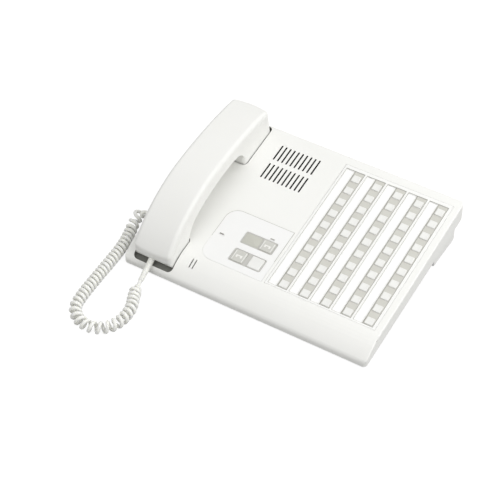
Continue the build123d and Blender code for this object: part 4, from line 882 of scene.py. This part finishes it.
# ---- line connector: tongue with two rows of contacts inside its metal shell
tongueLook = {"z": 16.0, "width": 54.0, "thickness": 3.0, "backY": 107.2, "depth": 5.0, "contacts": 25,
              "pitch": 2.1, "root": 1, "setBack": 1.2, "edge": 0.5, "nose": 0.4,
              "contactWidth": 0.9, "contactThickness": 0.25, "contactSetBack": 1.6, "contactEdge": 0.15}


def makeTongue(look):
    half, halfThickness = look["width"] / 2, look["thickness"] / 2
    rootY = look["backY"] - look["depth"] - look["root"]
    tongue = startBox("connectorTongue", (-half, rootY, look["z"] - halfThickness),
                      (half, look["backY"] - look["setBack"], look["z"] + halfThickness))
    pickFaces(tongue, lambda centre, normal: normal.y > 0.9)
    bpy.ops.mesh.inset(thickness=look["edge"] * mm, depth=look["nose"] * mm)
    bpy.ops.object.mode_set(mode="OBJECT")
    smooth(tongue, 20)
    place(tongue, Matrix(), "base", "black_plastic", blackNylonAndSlotShade)
    contact = startBox("contactPattern", (-look["contactWidth"] / 2, rootY, 0),
                       (look["contactWidth"] / 2, look["backY"] - look["contactSetBack"],
                        look["contactThickness"]))
    pickEdges(contact, lambda a, b: min(a.y, b.y) > look["backY"] - 2 and min(a.z, b.z) > 0.2)
    bpy.ops.mesh.bevel(offset=look["contactEdge"] * mm, segments=2)
    bpy.ops.object.mode_set(mode="OBJECT")
    row = []
    for n in range(look["contacts"]):
        across = (n - (look["contacts"] - 1) / 2) * look["pitch"]
        row.append(copyPiece(contact, f"contactTop{n}", (across, 0, look["z"] + halfThickness)))
        row.append(copyPiece(contact, f"contactUnder{n}",
                             (across, 0, look["z"] - halfThickness - look["contactThickness"])))
    bpy.data.objects.remove(contact)
    place(joinPieces(row, "connectorContacts"), Matrix(), "base", "steel", goldContact)


makeTongue(tongueLook)
print("connector made")

# ---- case screws: pan heads with a cross recess, sunk in the underside
screwLook = {"corner": (-147.745, -113.226, 1.93), "slope": 8.515, "head": 2.6, "height": 1.2, "shank": 1.35,
             "length": 7.0, "recess": 3.2, "slot": 0.8, "deep": 0.7,
             "headEdge": 0.45, "point": 0.8, "sides": 32,
             "spots": ((62.6, 48.0), (62.6, 166.45), (150.3, 166.45), (150.3, 20.0), (281.99, 20.0))}


def makeScrews(look):
    clearSelection()
    bpy.ops.mesh.primitive_cylinder_add(vertices=look["sides"], radius=look["head"] * mm,
                                        depth=look["height"] * mm, location=(0, 0, look["height"] / 2 * mm))
    screw = bpy.context.object
    screw.name = screw.data.name = "screwPattern"
    bpy.ops.object.transform_apply(location=True, rotation=True, scale=True)
    pickEdges(screw, lambda a, b: max(a.z, b.z) < 0.01)
    bpy.ops.mesh.bevel(offset=look["headEdge"] * mm, segments=4)
    pickFaces(screw, lambda centre, normal: normal.z > 0.9)
    bpy.ops.mesh.inset(thickness=(look["head"] - look["shank"]) * mm)
    bpy.ops.mesh.extrude_region_move(TRANSFORM_OT_translate=move(z=look["length"]))
    bpy.ops.mesh.inset(thickness=look["shank"] * 0.6 * mm, depth=look["point"] * mm)
    bpy.ops.object.mode_set(mode="OBJECT")
    half = look["recess"] / 2, look["slot"] / 2
    for reach, side in (half, half[::-1]):
        cutter = startBox("recessCutter", (-reach, -side, -1), (reach, side, look["deep"]))
        applyModifier(screw, "BOOLEAN", operation="DIFFERENCE", object=cutter)
        bpy.data.objects.remove(cutter)
    smooth(screw, 35)
    under = (Matrix.Translation(Vector(look["corner"]) * mm)
             @ Matrix.Rotation(math.radians(look["slope"]), 4, "X"))
    row = [copyPiece(screw, f"screw{n}", (across, along, 0))
           for n, (across, along) in enumerate(look["spots"])]
    bpy.data.objects.remove(screw)
    place(joinPieces(row, "caseScrews"), under, "base", "steel", zincSteel, "case_screws")


makeScrews(screwLook)
print("screws made")


# ---- floor and light: white floor that keeps a soft shadow, big soft panels
# size and drop below the feet in metres; the glow is what the camera and reflections see, not the object
floorLook = {"size": 8, "drop": 0.0002, "colour": "8e8e8e", "glow": 0.85}


def makeFloor(look):
    clearSelection()
    bpy.ops.mesh.primitive_plane_add(size=look["size"], location=(0, 0, -look["drop"]))
    floor = bpy.context.object
    floor.name = "studioFloor"
    material, tree = newMaterial("white_studio_floor")
    rays = addNode(tree, "LightPath")
    seen = addNode(tree, "Math", {"operation": "MAXIMUM"})
    tree.links.new(rays.outputs["Is Camera Ray"], seen.inputs[0])
    tree.links.new(rays.outputs["Is Glossy Ray"], seen.inputs[1])
    through = addNode(tree, "Math", {"operation": "MAXIMUM"})
    tree.links.new(seen.outputs["Value"], through.inputs[0])
    tree.links.new(rays.outputs["Is Transmission Ray"], through.inputs[1])
    lift = addNode(tree, "Math", {"operation": "MULTIPLY"})
    tree.links.new(through.outputs["Value"], lift.inputs[0])
    lift.inputs[1].default_value = look["glow"]
    paper = addNode(tree, "BsdfDiffuse", {"Color": hexColour(look["colour"])})
    glow = addNode(tree, "Emission", {}, {"Strength": lift.outputs["Value"]})
    both = addNode(tree, "AddShader")
    tree.links.new(paper.outputs["BSDF"], both.inputs[0])
    tree.links.new(glow.outputs["Emission"], both.inputs[1])
    addNode(tree, "OutputMaterial", links={"Surface": both.outputs["Shader"]})
    floor.data.materials.append(material)


makeFloor(floorLook)

lights = {
    # name: (place, aim, size, watts)
    "backPanel": ((350, 1000, 1500), (0, 0, 20), 1800, 9.5),
    "topPanel": ((400, -100, 1900), (0, 0, 20), 1500, 2.8),
    "rightPanel": ((1300, -100, 950), (0, 0, 30), 1300, 10.0),
    "frontPanel": ((-200, -1500, 1300), (0, 0, 20), 1200, 4.8),
}
for lightName, (spot, aim, size, watts) in lights.items():
    bpy.ops.object.light_add(type="AREA", location=Vector(spot) * mm)
    lamp = bpy.context.object
    lamp.name = lightName
    lamp.data.size = size * mm
    lamp.data.energy = watts
    lamp.rotation_euler = (Vector(spot) - Vector(aim)).to_track_quat("Z", "Y").to_euler()

skyStrength = 0.585
world = bpy.data.worlds.new("studioWorld")
bpy.context.scene.world = world
world.use_nodes = True
world.node_tree.nodes.clear()
sky = addNode(world.node_tree, "Background", {"Color": (1, 1, 1, 1), "Strength": skyStrength})
addNode(world.node_tree, "OutputWorld", links={"Surface": sky.outputs["Background"]})
bpy.context.scene.view_settings.view_transform = "Standard"
print("floor and light made")
